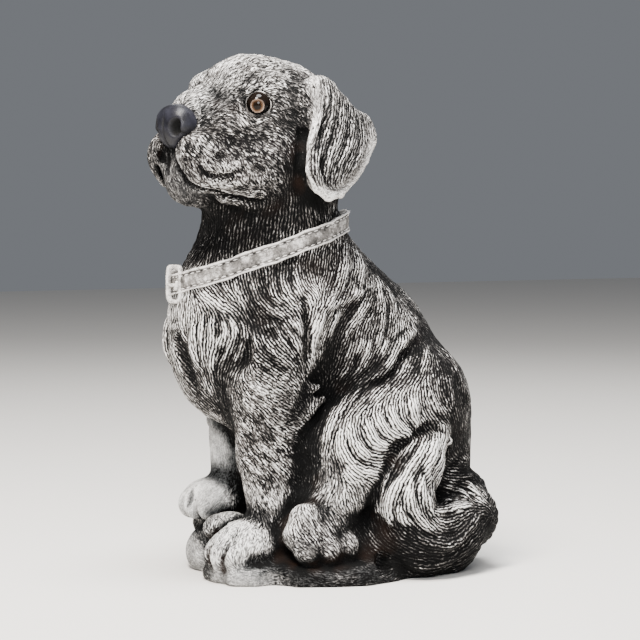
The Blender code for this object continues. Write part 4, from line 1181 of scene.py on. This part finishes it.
def makeRubbedCement():
    # Cast concrete: Portland cement and fine sand from a mould, washed with black stain and rubbed
    # back, so seams are near black, faces a mottled grey and crests almost white, all without gloss.
    # The attribute pale also carries painted shade in recesses and on undersides.
    look = rubbedCement
    material, tree = newMaterial("cast concrete, black wash rubbed back")
    metres = addNode(tree, "TexCoord").outputs["Object"]
    place = addNode(tree, "VectorMath", {0: metres, 3: layout["perMetre"]}, operation="SCALE")
    pale, hair, long, cool, recess = (
        addNode(tree, "Attribute", attribute_name=name).outputs["Fac"]
        for name in ("pale", "hair", "long", "cool", "recess"))
    flow = addNode(tree, "Attribute", attribute_name="flow").outputs["Vector"]
    normal = addNode(tree, "NewGeometry").outputs["Normal"]

    # Long hairs: cos(2 pi u) / 2 along the fur map, u bent by noise 3 mm wide
    turns = addNode(tree, "SeparateXYZ", {0: addNode(tree, "UVMap", uv_map="fur")})
    bend = addNode(tree, "TexNoise", {"Vector": place, "Scale": 0.33, "Detail": 2.0})
    bent = addNode(tree, "Math", [bend.outputs["Fac"], 1.1, turns.outputs["X"]], operation="MULTIPLY_ADD")
    angle = addNode(tree, "Math", [bent, 2.0 * math.pi], operation="MULTIPLY")
    ridge = addNode(tree, "Math", [angle], operation="COSINE")
    longLift = addNode(tree, "Math", [ridge, 0.5], operation="MULTIPLY")
    # Short hairs: the sum of two layers of tufts
    first, second = (tuftNoise(tree, place, flow, normal, *tuft) for tuft in look["tufts"])
    both = addNode(tree, "Math", [first, second], operation="ADD")
    shortLift = addNode(tree, "Math", [both, 1.5, -1.5], operation="MULTIPLY_ADD")
    longLift = addNode(tree, "Math", [shortLift, 0.55, longLift], operation="MULTIPLY_ADD")
    longShare = addNode(tree, "Math", [long, 0.9], operation="MULTIPLY")
    lift = addNode(tree, "Mix", {0: longShare, 2: shortLift, 3: longLift})
    # hairs fade in and out in patches 6 mm wide, and are faint where stain and painted shade darken
    patch = addNode(tree, "TexNoise", {"Vector": place, "Scale": 0.16, "Detail": 3.0, "Roughness": 0.6})
    strength = addNode(tree, "MapRange", {0: patch.outputs["Fac"], 1: 0.32, 2: 0.6, 3: 0.5, 4: 1.0})
    cleared = addNode(tree, "MapRange", {0: pale, 1: -0.3, 2: 0.4, 3: 0.5, 4: 1.0})
    strength = addNode(tree, "Math", [strength, cleared], operation="MULTIPLY")
    strength = addNode(tree, "Math", [strength, hair], operation="MULTIPLY")
    hairLift = addNode(tree, "Math", [strength, lift.outputs[0]], operation="MULTIPLY")

    # Sand grains, air holes and the blotches where the stain took unevenly
    grit = addNode(tree, "TexNoise", {"Vector": place, "Scale": 0.4 / look["gritSize"],
                                                "Detail": 3.0, "Roughness": 0.7})
    gritLift = addNode(tree, "Math", [grit.outputs["Fac"], 0.5], operation="SUBTRACT")
    holes = addNode(tree, "TexVoronoi", {"Vector": place, "Scale": 0.6 / look["pitSize"]})
    hole = addNode(tree, "MapRange", {0: holes.outputs["Distance"], 1: 0.07, 2: 0.2, 3: 1.0, 4: 0.0})
    chance = addNode(tree, "SeparateColor", {0: holes.outputs["Color"]})
    kept = addNode(tree, "Math", [chance.outputs[0], 0.8], operation="GREATER_THAN")
    pit = addNode(tree, "Math", [hole, kept], operation="MULTIPLY")
    blotch = addNode(tree, "TexNoise", {"Vector": place, "Scale": 0.075, "Detail": 5.0, "Roughness": 0.62})
    blotchLift = addNode(tree, "Math", [blotch.outputs["Fac"], 0.5], operation="SUBTRACT")

    value = addNode(tree, "Math", [hairLift, look["hairContrast"], pale], operation="MULTIPLY_ADD")
    value = addNode(tree, "Math", [gritLift, 0.7, value], operation="MULTIPLY_ADD")
    value = addNode(tree, "Math", [blotchLift, 0.7, value], operation="MULTIPLY_ADD")
    value = addNode(tree, "Math", [pit, -0.45, value], operation="MULTIPLY_ADD")
    ramp = addNode(tree, "ValToRGB", {0: value})
    setStops(ramp, [(0.0, look["cavity"]), (0.25, look["shade"]), (0.5, look["middle"]),
                    (0.75, look["rub"]), (1.05, look["crest"])])
    bareShare = addNode(tree, "Math", [value, 0.55], operation="MULTIPLY", use_clamp=True)
    bareShare = addNode(tree, "Math", [cool, bareShare], operation="MULTIPLY")
    tint = addNode(tree, "Mix", {0: bareShare, 6: ramp.outputs[0], 7: hexColour(look["bare"])},
                   data_type="RGBA")
    # rusty brown deep in the cavities
    rustPatch = addNode(tree, "TexNoise", {"Vector": place, "Scale": 0.04, "Detail": 2.0})
    rustShare = addNode(tree, "MapRange", {0: rustPatch.outputs["Fac"], 1: 0.55, 2: 0.72, 3: 0.0, 4: 0.35})
    rustShare = addNode(tree, "Math", [rustShare, recess], operation="MULTIPLY")
    colour = addNode(tree, "Mix", {0: rustShare, 6: tint.outputs[2], 7: hexColour(look["rust"])},
                     data_type="RGBA")

    depth = addNode(tree, "Math", [hairLift, look["hairDepth"]], operation="MULTIPLY")
    depth = addNode(tree, "Math", [gritLift, look["gritDepth"] * 4.0, depth], operation="MULTIPLY_ADD")
    depth = addNode(tree, "Math", [blotchLift, 0.5, depth], operation="MULTIPLY_ADD")
    depth = addNode(tree, "Math", [pit, -look["pitDepth"], depth], operation="MULTIPLY_ADD")
    bump = addNode(tree, "Bump", {"Strength": 1.0, "Distance": 0.001, "Height": depth})
    finishMaterial(tree, colour.outputs[2], 0.88, bump, IOR=1.5, Specular_IOR_Level=0.12)
    return material


def makeNosePaint():
    # Brushed-on satin enamel over concrete: smooth and a little glossy, blue-black, mottled a little
    # paler at random, with painted shade: dull black inside the nostrils, darker in the slits and groove
    material, tree = newMaterial("satin enamel, blue-black")
    metres = addNode(tree, "TexCoord").outputs["Object"]
    shade = addNode(tree, "Attribute", attribute_name="shade").outputs["Fac"]
    cloud = addNode(tree, "TexNoise", {"Vector": metres, "Scale": 260.0, "Detail": 5.0, "Roughness": 0.62})
    ramp = addNode(tree, "ValToRGB", {0: cloud.outputs["Fac"]})
    setStops(ramp, [(0.35, "#0e0e13"), (0.75, "#26262e")])
    inside = addNode(tree, "Mix", {0: shade, 6: ramp.outputs[0], 7: hexColour("#020202")}, data_type="RGBA")
    dull = addNode(tree, "Math", [shade, 0.45, 0.42], operation="MULTIPLY_ADD")
    depth = addNode(tree, "Math", [cloud.outputs["Fac"], 0.25], operation="MULTIPLY")
    bump = addNode(tree, "Bump", {"Strength": 1.0, "Distance": 0.001, "Height": depth})
    finishMaterial(tree, inside.outputs[2], dull, bump, IOR=1.5, Specular_IOR_Level=0.28)
    return material


def makeEyePaint():
    # Glossy enamel eye: dark brown pupil, amber iris with uneven rings, near-black rim. The rings
    # follow the angle from the middle of the iris, kept on the eyeball as the attribute polar.
    material, tree = newMaterial("glossy enamel eye, amber iris")
    place = addNode(tree, "TexCoord").outputs["Object"]
    polar = addNode(tree, "Attribute", attribute_name="polar").outputs["Fac"]
    cloud = addNode(tree, "TexNoise", {"Vector": place, "Scale": 700.0, "Detail": 3.0})
    angle = addNode(tree, "Math", {0: cloud.outputs["Fac"], 1: 7.0, 2: polar}, operation="MULTIPLY_ADD")
    share = addNode(tree, "Math", {0: angle, 1: 94.0}, operation="DIVIDE")
    ramp = addNode(tree, "ValToRGB", {0: share})
    setStops(ramp, [(0.0, "#080503"), (0.2, "#140c06"), (0.25, "#4a3220"), (0.3, "#755a44"),
                    (0.34, "#9c8270"), (0.375, "#b09a8a"), (0.395, "#2a201c"), (0.42, "#0b0a0a")])
    # painted shade: the upper half darker, as the shadow of the lid would fall
    rise = addNode(tree, "Attribute", attribute_name="rise").outputs["Fac"]
    lidShade = addNode(tree, "MapRange", {0: rise, 1: -0.15, 2: 0.25, 3: 0.0, 4: 0.75})
    colour = addNode(tree, "Mix", {0: lidShade, 6: ramp, 7: hexColour("#140e0a")}, data_type="RGBA")
    finishMaterial(tree, colour.outputs[2], 0.08, None, IOR=1.5, Specular_IOR_Level=0.14)
    return material


def makeMottledCement(name, dark, middle, light):
    # The same concrete on strap and lids: a thin grey wash, rubbed almost clear, over a sandy grain
    material, tree = newMaterial(name)
    place = addNode(tree, "TexCoord").outputs["Object"]
    worn = addNode(tree, "Attribute", attribute_name="worn").outputs["Fac"]
    blotch = addNode(tree, "TexNoise", {"Vector": place, "Scale": 190.0, "Detail": 6.0, "Roughness": 0.68})
    grit = addNode(tree, "TexNoise", {"Vector": place, "Scale": 1100.0, "Detail": 3.0, "Roughness": 0.7})
    lift = addNode(tree, "Math", {0: blotch.outputs["Fac"], 1: 0.5}, operation="SUBTRACT")
    value = addNode(tree, "Math", {0: lift, 1: 2.2, 2: worn}, operation="MULTIPLY_ADD")
    speck = addNode(tree, "Math", {0: grit.outputs["Fac"], 1: 0.5}, operation="SUBTRACT")
    value = addNode(tree, "Math", {0: speck, 1: 0.9, 2: value}, operation="MULTIPLY_ADD")
    ramp = addNode(tree, "ValToRGB", {0: value})
    setStops(ramp, [(0.0, dark), (0.45, middle), (0.85, light)])
    depth = addNode(tree, "Math", {0: lift, 1: 0.4}, operation="MULTIPLY")
    depth = addNode(tree, "Math", {0: speck, 1: 0.15, 2: depth}, operation="MULTIPLY_ADD")
    bump = addNode(tree, "Bump", {"Strength": 1.0, "Distance": 0.001, "Height": depth})
    finishMaterial(tree, ramp, 0.85, bump, IOR=1.5, Specular_IOR_Level=0.35)
    return material


# Surfaces from grids of points

def circle(count):
    # angles all the way round, the last one left out
    return np.linspace(0.0, 2 * math.pi, count, endpoint=False)


def rounded(wave, power):
    # the wave to that power with its own sign: 1 is a circle, less is closer to a box
    return np.sign(wave) * np.abs(wave) ** power


def gridMesh(name, grid, closedAcross=True, closedAlong=False, poles=False):
    # faces between the rows and columns of grid[row, column]; with poles, each end row is one point
    rows, columns = grid.shape[:2]
    row, column = np.meshgrid(np.arange(rows if closedAlong else rows - 1),
                              np.arange(columns if closedAcross else columns - 1), indexing="ij")
    nextRow = (row + 1) % rows
    nextColumn = (column + 1) % columns
    corners = [row * columns + column, row * columns + nextColumn,
               nextRow * columns + nextColumn, nextRow * columns + column]
    faces = np.stack([corner.ravel() for corner in corners], axis=1)
    mesh = bpy.data.meshes.new(name)
    mesh.from_pydata(toMetres(grid.reshape(-1, 3)), [], faces.tolist())
    if poles:
        turnOutward(mesh, weld=True)
    mesh.update()
    return mesh


def turnOutward(mesh, weld=False):
    # normals outward, after points within a thousandth of a millimetre are made one
    shape = bmesh.new()
    shape.from_mesh(mesh)
    if weld:
        bmesh.ops.remove_doubles(shape, verts=shape.verts[:], dist=0.000001)
    bmesh.ops.recalc_face_normals(shape, faces=shape.faces[:])
    shape.to_mesh(mesh)
    shape.free()
    mesh.update()


def joinParts(name, parts, worn, material):
    # one piece from several closed meshes, evenly worn
    shape = bmesh.new()
    for part in parts:
        shape.from_mesh(part)
        bpy.data.meshes.remove(part)
    mesh = bpy.data.meshes.new(name)
    shape.to_mesh(mesh)
    shape.free()
    addAttribute(mesh, "worn", np.full(len(mesh.vertices), worn))
    addPiece(name, mesh, material)


nose = {
    "middle": (55.0, 0.0, 215.4),   # forward, left, up on the head, mm
    "radii": (8.6, 12.0, 10.7),
    "square": 2.7,                  # 2 is an ellipse, more is closer to a box, seen from above
    "pinch": 0.42,                  # how much narrower it is at the bottom
    "nostril": (7.4, -0.4),         # left and up of each nostril from the middle
    "nostrilSize": (2.3, 3.7),
    "nostrilDepth": 6.0,
    "nostrilLean": 0.16,            # how far each leans outwards for its height
    "nostrilFlare": 1.6,            # mm that its side is pressed in
    "slitDepth": 1.2,
    "grooveDepth": 1.1,
}


def buildNose(material):
    # Superellipsoid: forward = a r cos(u), left = b r sin(u), up = c sin(v), with r = cos^0.8(v) over
    # (|cos u|^n + |sin u|^n)^(1/n), narrower to the bottom. Nostrils, the slits beside them and the
    # middle groove press the front inwards.
    rows, columns = 150, 200
    up, around = np.meshgrid(np.linspace(-math.pi / 2, math.pi / 2, rows), circle(columns), indexing="ij")
    a, b, c = nose["radii"]
    power = nose["square"]
    box = (np.abs(np.cos(around)) ** power + np.abs(np.sin(around)) ** power) ** (1.0 / power)
    belt = np.maximum(np.cos(up), 0.0) ** 0.8 / box
    narrow = 1.0 - nose["pinch"] * np.clip(-np.sin(up), 0.0, 1.0) ** 1.5
    forward = a * belt * np.cos(around)
    left = b * belt * np.sin(around) * narrow
    above = c * np.sin(up)
    front = np.clip(np.cos(around), 0.0, 1.0)
    holeLeft, holeUp = nose["nostril"]
    wide, tall = nose["nostrilSize"]
    aside = np.abs(left) - holeLeft
    rise = above - holeUp
    hole = np.exp(-((((aside - nose["nostrilLean"] * rise) / wide) ** 2 + (rise / tall) ** 2) ** 2))
    slit = np.exp(-(((aside - 3.0) / 2.2) ** 2 + ((rise + 2.6 + 0.35 * (aside - 3.0)) / 1.0) ** 2))
    groove = np.exp(-((left / 0.8) ** 2)) * np.clip((6.0 - above) / 4.0, 0.0, 1.0)
    # shade: painted shade, black inside the nostrils and darker in the slits beside them and the middle
    # groove
    shade = np.clip(hole * 2.6 + 0.8 * slit + 0.7 * groove, 0.0, 1.0)
    press = nose["nostrilDepth"] * hole + nose["slitDepth"] * slit + nose["grooveDepth"] * groove
    forward = forward - press * np.sqrt(front)
    left = left - np.sign(left) * nose["nostrilFlare"] * hole * (1.0 - front)
    axes = np.stack(headAxes())
    grid = headPlace(*nose["middle"]) + np.stack([forward, left, above], axis=-1) @ axes
    mesh = gridMesh("nose", grid)
    addAttribute(mesh, "shade", shade.ravel())
    turnOutward(mesh, weld=True)
    addPiece("nose", mesh, material)


def eyeFrame(side, look):
    # middle of the eyeball and its axes: along the look, towards the brow and across
    forward, left, up = eyeLook["place"]
    ahead, aside, above = headAxes()
    along, out, rise = eyeLook[look]
    axis = along * ahead + side * out * aside + rise * above
    axis /= np.linalg.norm(axis)
    upward = above - (above @ axis) * axis
    upward /= np.linalg.norm(upward)
    return headPlace(forward, side * left, up), axis, upward, np.cross(upward, axis)


def buildEyes(material):
    # Sphere about the axis of the gaze: polar angle from 0 at the pupil to pi at the back
    rows, columns = 72, 96
    polar, around = np.meshgrid(np.linspace(0.0, math.pi, rows), circle(columns), indexing="ij")
    for side, name in ((1, "eye_left"), (-1, "eye_right")):
        middle, axis, upward, across = eyeFrame(side, "gaze")
        ring = np.cos(around)[..., None] * across + np.sin(around)[..., None] * upward
        direction = np.cos(polar)[..., None] * axis + np.sin(polar)[..., None] * ring
        bulge = eyeLook["radius"] + 0.25 * np.exp(-((polar / 0.6) ** 2))
        mesh = gridMesh(name, middle + bulge[..., None] * direction, poles=True)
        points = readPoints(mesh) - middle
        angle = np.degrees(np.arccos(np.clip((points @ axis) / np.linalg.norm(points, axis=1), -1, 1)))
        addAttribute(mesh, "polar", angle)
        addAttribute(mesh, "rise", points @ upward / eyeLook["radius"])
        addPiece(name, mesh, material)


lidLook = {
    "openWide": 74.0,     # degrees from the axis to the corners of the eye
    "openTop": 74.0,
    "openBottom": 56.0,
    "upperTube": 0.6,     # mm, thickness of the rims
    "lowerTube": 1.3,
}


def buildLids(material):
    # A tube on the eyeball round its opening: its polar angle runs from the corners to top and bottom
    stations, around = 96, 20
    turn = circle(stations)
    ring = circle(around)
    for side, name in ((1, "eyelids_left"), (-1, "eyelids_right")):
        middle, axis, upward, across = eyeFrame(side, "axis")
        wide = math.radians(lidLook["openWide"])
        tall = np.radians(np.where(np.sin(turn) > 0, lidLook["openTop"], lidLook["openBottom"]))
        polar = np.sqrt((wide * np.cos(turn)) ** 2 + (tall * np.sin(turn)) ** 2)
        radial = np.cos(turn)[:, None] * across + np.sin(turn)[:, None] * upward
        direction = np.cos(polar)[:, None] * axis + np.sin(polar)[:, None] * radial
        outward = np.sin(polar)[:, None] * -axis + np.cos(polar)[:, None] * radial
        low = np.clip(-np.sin(turn), 0.0, 1.0) ** 0.7
        tube = lidLook["upperTube"] + (lidLook["lowerTube"] - lidLook["upperTube"]) * low
        centre = middle + (eyeLook["radius"] + 0.1) * direction + 0.6 * tube[:, None] * outward
        grid = (centre[:, None, :]
                + (np.cos(ring)[None, :, None] * direction[:, None, :]
                   + np.sin(ring)[None, :, None] * outward[:, None, :]) * tube[:, None, None])
        mesh = gridMesh(name, grid, closedAlong=True)
        turnOutward(mesh)
        crest = np.cos(ring)[None, :] * (0.2 + 0.4 * (1.0 - low))[:, None]
        addAttribute(mesh, "worn", (0.45 * (1.0 - low)[:, None] + crest).ravel())
        addPiece(name, mesh, material)


collar = {
    "axis": (0.0, -30.0),         # of the neck
    "lowPoint": (5.0, -76.0, 142.0),
    "slopeBack": 0.33,
    "slopeLeft": 0.1,
    "width": 10.0,                # mm
    "thickness": 2.3,
    "edgeDepth": 4.0,
    "stations": 720,
    "rim": 0.5,                   # mm, how far the rolled edges stand up
    "stitchRow": 3.1,             # mm from the middle of the strap
    "stitchEvery": 3.8,
    "stitchLength": 2.4,
    "stitchWidth": 0.6,
    "stitchThickness": 0.7,
    "channelDepth": 0.35,         # mm, under each row of stitches
    "edgeRounding": 0.9,
    "buckleWidth": 10.4,
    "buckleHeight": 18.5,
    "buckleBar": 1.8,
    "buckleThickness": 2.4,
    "buckleTurn": 20.0,           # degrees to the dog's left
    "stitchWorn": 0.95,           # how far each is rubbed, 1 is clear
    "buckleWorn": 0.72,
}


def collarHeight(x, y):
    low = collar["lowPoint"]
    return low[2] + collar["slopeBack"] * (y - low[1]) + collar["slopeLeft"] * (x - low[0])


def neckRadius(masses, angles, offset):
    # by halving: the distance from the neck's axis to its surface in the collar's plane
    low = np.full(len(angles), 12.0)
    high = np.full(len(angles), 75.0)
    for _ in range(18):
        middle = (low + high) / 2
        x = middle * np.cos(angles) + collar["axis"][0]
        y = middle * np.sin(angles) + collar["axis"][1]
        inside = figureDepth(masses, np.stack([x, y, collarHeight(x, y) + offset], axis=1)) < 0
        low = np.where(inside, middle, low)
        high = np.where(inside, high, middle)
    return low


def strapReach(masses, angles):
    coarse = circle(88)
    half = collar["width"] / 2
    reach = np.maximum.reduce([neckRadius(masses, coarse, shift * half) for shift in (-0.7, 0.0, 0.7)])
    for _ in range(3):
        reach = (np.roll(reach, 1) + 2 * reach + np.roll(reach, -1)) / 4
    return np.interp(angles % (2 * math.pi), np.append(coarse, 2 * math.pi), np.append(reach, reach[0]))


def buildStrap(masses, material):
    # Profile carried round the neck: flat face between two rolled edges, with a shallow channel
    # under each row of stitches
    angles = circle(collar["stations"])
    reach = strapReach(masses, angles)
    half = collar["width"] / 2
    up = np.concatenate([np.linspace(-half, half, 41), np.linspace(half, -half, 9)[1:-1]])
    face = np.arange(len(up)) < 41
    roll = collar["rim"] * np.exp(-(((np.abs(up) - half + 0.55) / 0.5) ** 2))
    channel = -collar["channelDepth"] * np.exp(-(((np.abs(up) - collar["stitchRow"]) / 0.55) ** 2))
    rounding = collar["edgeRounding"] * np.clip((np.abs(up) - half + 0.5) / 0.5, 0.0, 1.0) ** 2
    out = np.where(face, collar["thickness"] - 0.35 + roll + channel - rounding, -collar["edgeDepth"])
    radius = reach[:, None] + out[None, :]
    x = radius * np.cos(angles)[:, None] + collar["axis"][0]
    y = radius * np.sin(angles)[:, None] + collar["axis"][1]
    waver = 0.25 * np.sin(angles * 9.0 + 1.0) + 0.15 * np.sin(angles * 23.0)
    z = collarHeight(x, y) + up[None, :] + waver[:, None] * (np.abs(up) / half)[None, :]
    mesh = gridMesh("collar_strap", np.stack([x, y, z], axis=-1), closedAlong=True)
    turnOutward(mesh)
    worn = 0.42 + 0.5 * roll / collar["rim"] + 0.9 * channel
    addAttribute(mesh, "worn", np.tile(np.where(face, worn, 0.0), collar["stations"]))
    addPiece("collar_strap", mesh, material)


def buildStitches(masses, material):
    # Each stitch is a small ellipsoid, its long axis along the strap
    around = circle(2880)
    reach = strapReach(masses, around) + collar["thickness"] - 0.55
    x = reach * np.cos(around) + collar["axis"][0]
    y = reach * np.sin(around) + collar["axis"][1]
    z = collarHeight(x, y)
    path = np.stack([x, y, z], axis=1)
    length = np.concatenate([[0.0], np.cumsum(np.linalg.norm(np.roll(path, -1, axis=0) - path, axis=1))])
    count = int(length[-1] / collar["stitchEvery"])
    stops = (np.arange(count) + 0.5) * length[-1] / count
    closed = np.vstack([path, path[:1]])
    middle = np.stack([np.interp(stops, length, closed[:, axis]) for axis in range(3)], axis=1)
    ahead = np.stack([np.interp((stops + 0.5) % length[-1], length, closed[:, axis])
                      for axis in range(3)], axis=1)
    along = unit(ahead - middle)
    up = np.tile([0.0, 0.0, 1.0], (count, 1))
    up -= (up * along).sum(axis=1)[:, None] * along
    out = np.cross(along, up)
    polar, turn = np.meshgrid(np.linspace(0.0, math.pi, 7), circle(8), indexing="ij")
    sizes = np.array([collar["stitchLength"], collar["stitchWidth"], collar["stitchThickness"]]) / 2
    local = np.stack([sizes[0] * np.cos(polar), sizes[1] * np.sin(polar) * np.cos(turn),
                      sizes[2] * np.sin(polar) * np.sin(turn)], axis=-1).reshape(-1, 3)
    rows = []
    for row in (collar["stitchRow"], -collar["stitchRow"]):
        frames = np.stack([along, up, out], axis=1)
        rows.append(middle[:, None, :] + row * up[:, None, :] + np.einsum("pk,nkj->npj", local, frames))
    grids = np.concatenate(rows).reshape(-1, 7, 8, 3)
    parts = [gridMesh("stitch", grid, poles=True) for grid in grids]
    joinParts("collar_stitches", parts, collar["stitchWorn"], material)


def buckleLoop(width, height, bar, thickness, middle, corner):
    # A bar carried round a rounded rectangle: superellipse path, superellipse profile
    turn = circle(160)
    ring = circle(24)

    def loop(halfWide, halfTall):
        power = 2.0 / corner
        return halfWide * rounded(np.cos(turn), power), halfTall * rounded(np.sin(turn), power)

    outerX, outerZ = loop(width / 2, height / 2)
    innerX, innerZ = loop(width / 2 - bar, height / 2 - bar)
    share = rounded(np.cos(ring), 0.6)[None, :] * 0.5 + 0.5
    deep = rounded(np.sin(ring), 0.6)[None, :] * thickness / 2
    x = innerX[:, None] + (outerX - innerX)[:, None] * share
    z = innerZ[:, None] + (outerZ - innerZ)[:, None] * share
    y = np.broadcast_to(deep, x.shape)
    return np.stack([middle[0] + x, middle[1] + y, middle[2] + z], axis=-1)


def barGrid(start, end, wide, thick):
    # rounded bar: superellipse profile that closes at both ends
    start, end = np.array(start, dtype=float), np.array(end, dtype=float)
    along = (end - start) / np.linalg.norm(end - start)
    side = np.cross(along, [0.0, 1.0, 0.0])
    deep = np.array([0.0, 1.0, 0.0])
    share = np.linspace(0.0, 1.0, 25)
    taper = np.clip(1.0 - np.abs(2 * share - 1) ** 10, 0.0, 1.0) ** 0.5
    ring = circle(20)
    a = rounded(np.cos(ring), 0.7) * wide / 2
    b = rounded(np.sin(ring), 0.7) * thick / 2
    middle = start + share[:, None] * (end - start)
    return middle[:, None, :] + taper[:, None, None] * (a[None, :, None] * side + b[None, :, None] * deep)


def buildBuckle(masses, material):
    front = neckRadius(masses, np.array([-math.pi / 2]), 0.0)[0]
    y = collar["axis"][1] - front - collar["thickness"] - collar["buckleThickness"] / 2
    z = collarHeight(0.0, y)
    wide, tall, bar = collar["buckleWidth"], collar["buckleHeight"], collar["buckleBar"]
    grids = [
        (buckleLoop(wide, tall, bar, collar["buckleThickness"], (0, y, z), 4.5), False),
        (barGrid((-wide / 2 + 1, y + 0.3, z - 0.6), (wide / 2 - 1, y + 0.3, z - 0.6), bar, 2.8), True),
        (barGrid((1.6, y - 1.2, z - 3.0), (3.4, y - 1.4, z + 1.6), 1.8, 1.8), True),
    ]
    turn = math.radians(collar["buckleTurn"])
    spin = np.array([[math.cos(turn), math.sin(turn), 0.0], [-math.sin(turn), math.cos(turn), 0.0],
                     [0.0, 0.0, 1.0]])
    middle = np.array([0.0, y, z])
    parts = []
    for grid, poles in grids:
        turned = middle + (grid - middle) @ spin
        parts.append(gridMesh("buckle part", turned, closedAlong=not poles, poles=poles))
        turnOutward(parts[-1])
    joinParts("buckle", parts, collar["buckleWorn"], material)


masses = figureMasses()
trunk = trunkMasses()
low, high = (toLayout(np.array(corner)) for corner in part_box("dog_statue"))
roughPoints, roughQuads = surfaceNet(lambda points: figureDepth(masses, points), low - 6.0, high + 6.0, 2.2)
tree = BVHTree.FromPolygons(roughPoints.tolist(), roughQuads.tolist())
samples = strokeSamples(tree, masses)
sampleNormals = surfaceNormals(masses, samples[0])
lockPaths = [(copy, area["width"], area["height"])
             for area in lockAreas.values() for pixels in area["strokes"]
             for copy in mirrored(castPath(tree, pixels, 2.5), area.get("mirror")) if len(copy) > 1]
print("fur combed along", len(samples[0]), "marks,", len(lockPaths), "locks laid")

cement = makeRubbedCement()
buildCasting(masses, samples, sampleNormals, "casting_head", 1, casting["headSpacing"], cement)
buildCasting(masses, samples, sampleNormals, "casting_body", -1, casting["bodySpacing"], cement)
buildNose(makeNosePaint())
buildEyes(makeEyePaint())
buildLids(makeMottledCement("cast concrete, pale rim", "#161413", "#7d7874", "#e2deda"))
strapCement = makeMottledCement("cast concrete, rubbed clear", "#242322", "#767370", "#dedbd8")
buildStrap(trunk, strapCement)
buildStitches(trunk, strapCement)
buildBuckle(trunk, strapCement)
print("nose, eyes and collar built")


# The floor, the light and the camera
studio = {
    "floorSize": 6.0,
    "floor": "#d9d6d1",
    "world": "#c9ced6",
    "worldStrength": 0.3,
    "aimHeight": 0.12,            # metres, the height that all lamps look at
    # name, azimuth, elevation, distance in metres, size, watts, colour
    "lights": [
        ("key", 30.0, 60.0, 1.1, 0.35, 32.0, "#fff8f0"),
        ("fill", 110.0, 25.0, 1.4, 1.0, 2.0, "#e6eefc"),
        ("catch", 62.0, 22.0, 1.0, 0.36, 9.0, "#ffffff"),
        ("top", 70.0, 84.0, 1.2, 0.6, 34.0, "#ffffff"),
        ("behind", 235.0, 40.0, 1.3, 0.8, 5.0, "#ffffff"),
    ],
}


def makeFloor():
    material, tree = newMaterial("matt studio floor")
    finishMaterial(tree, hexColour(studio["floor"]), 0.9, None, IOR=1.45)
    half = studio["floorSize"] / 2
    mesh = bpy.data.meshes.new("floor")
    corners = [(-half, -half, 0), (half, -half, 0), (half, half, 0), (-half, half, 0)]
    mesh.from_pydata(corners, [], [(0, 1, 2, 3)])
    mesh.materials.append(material)
    floor = bpy.data.objects.new("floor", mesh)
    bpy.context.scene.collection.objects.link(floor)
    floor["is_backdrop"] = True


def aimedAt(place, target):
    return (Vector(target) - Vector(place)).to_track_quat("-Z", "Y").to_euler()


def makeLights():
    world = bpy.data.worlds.new("studio")
    world.use_nodes = True
    background = world.node_tree.nodes["Background"]
    background.inputs[0].default_value = hexColour(studio["world"])
    background.inputs[1].default_value = studio["worldStrength"]
    bpy.context.scene.world = world
    for name, azimuth, elevation, distance, size, watts, colour in studio["lights"]:
        lamp = bpy.data.lights.new(name, "AREA")
        lamp.shape = "DISK"
        lamp.size = size
        lamp.energy = watts
        lamp.color = hexColour(colour)[:3]
        turn, rise = math.radians(azimuth), math.radians(elevation)
        place = (distance * math.cos(rise) * math.sin(turn), -distance * math.cos(rise) * math.cos(turn),
                 studio["aimHeight"] + distance * math.sin(rise))
        light = bpy.data.objects.new(name, lamp)
        light.location = place
        light.rotation_euler = aimedAt(place, (0, 0, studio["aimHeight"]))
        bpy.context.scene.collection.objects.link(light)


def makeCamera():
    lens = bpy.data.cameras.new("camera")
    lens.sensor_width = photoView["sensorWidth"]
    lens.lens = photoView["focalPixels"] * photoView["sensorWidth"] / photoView["imageSize"]
    turn = math.radians(photoView["azimuth"])
    camera = bpy.data.objects.new("camera", lens)
    place = photoView["distance"] * np.array([math.sin(turn), -math.cos(turn), 0.0])
    place[2] = photoView["height"]
    camera.location = toMetres(place)
    camera.rotation_euler = (math.pi / 2 - math.radians(photoView["lookDown"]), 0.0, turn)
    bpy.context.scene.collection.objects.link(camera)
    bpy.context.scene.camera = camera


makeFloor()
makeLights()
makeCamera()
print("stage set")

boxes = {"cad": cadBox, "visual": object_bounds()}
{name: [list(corner) for corner in box] for name, box in boxes.items()}
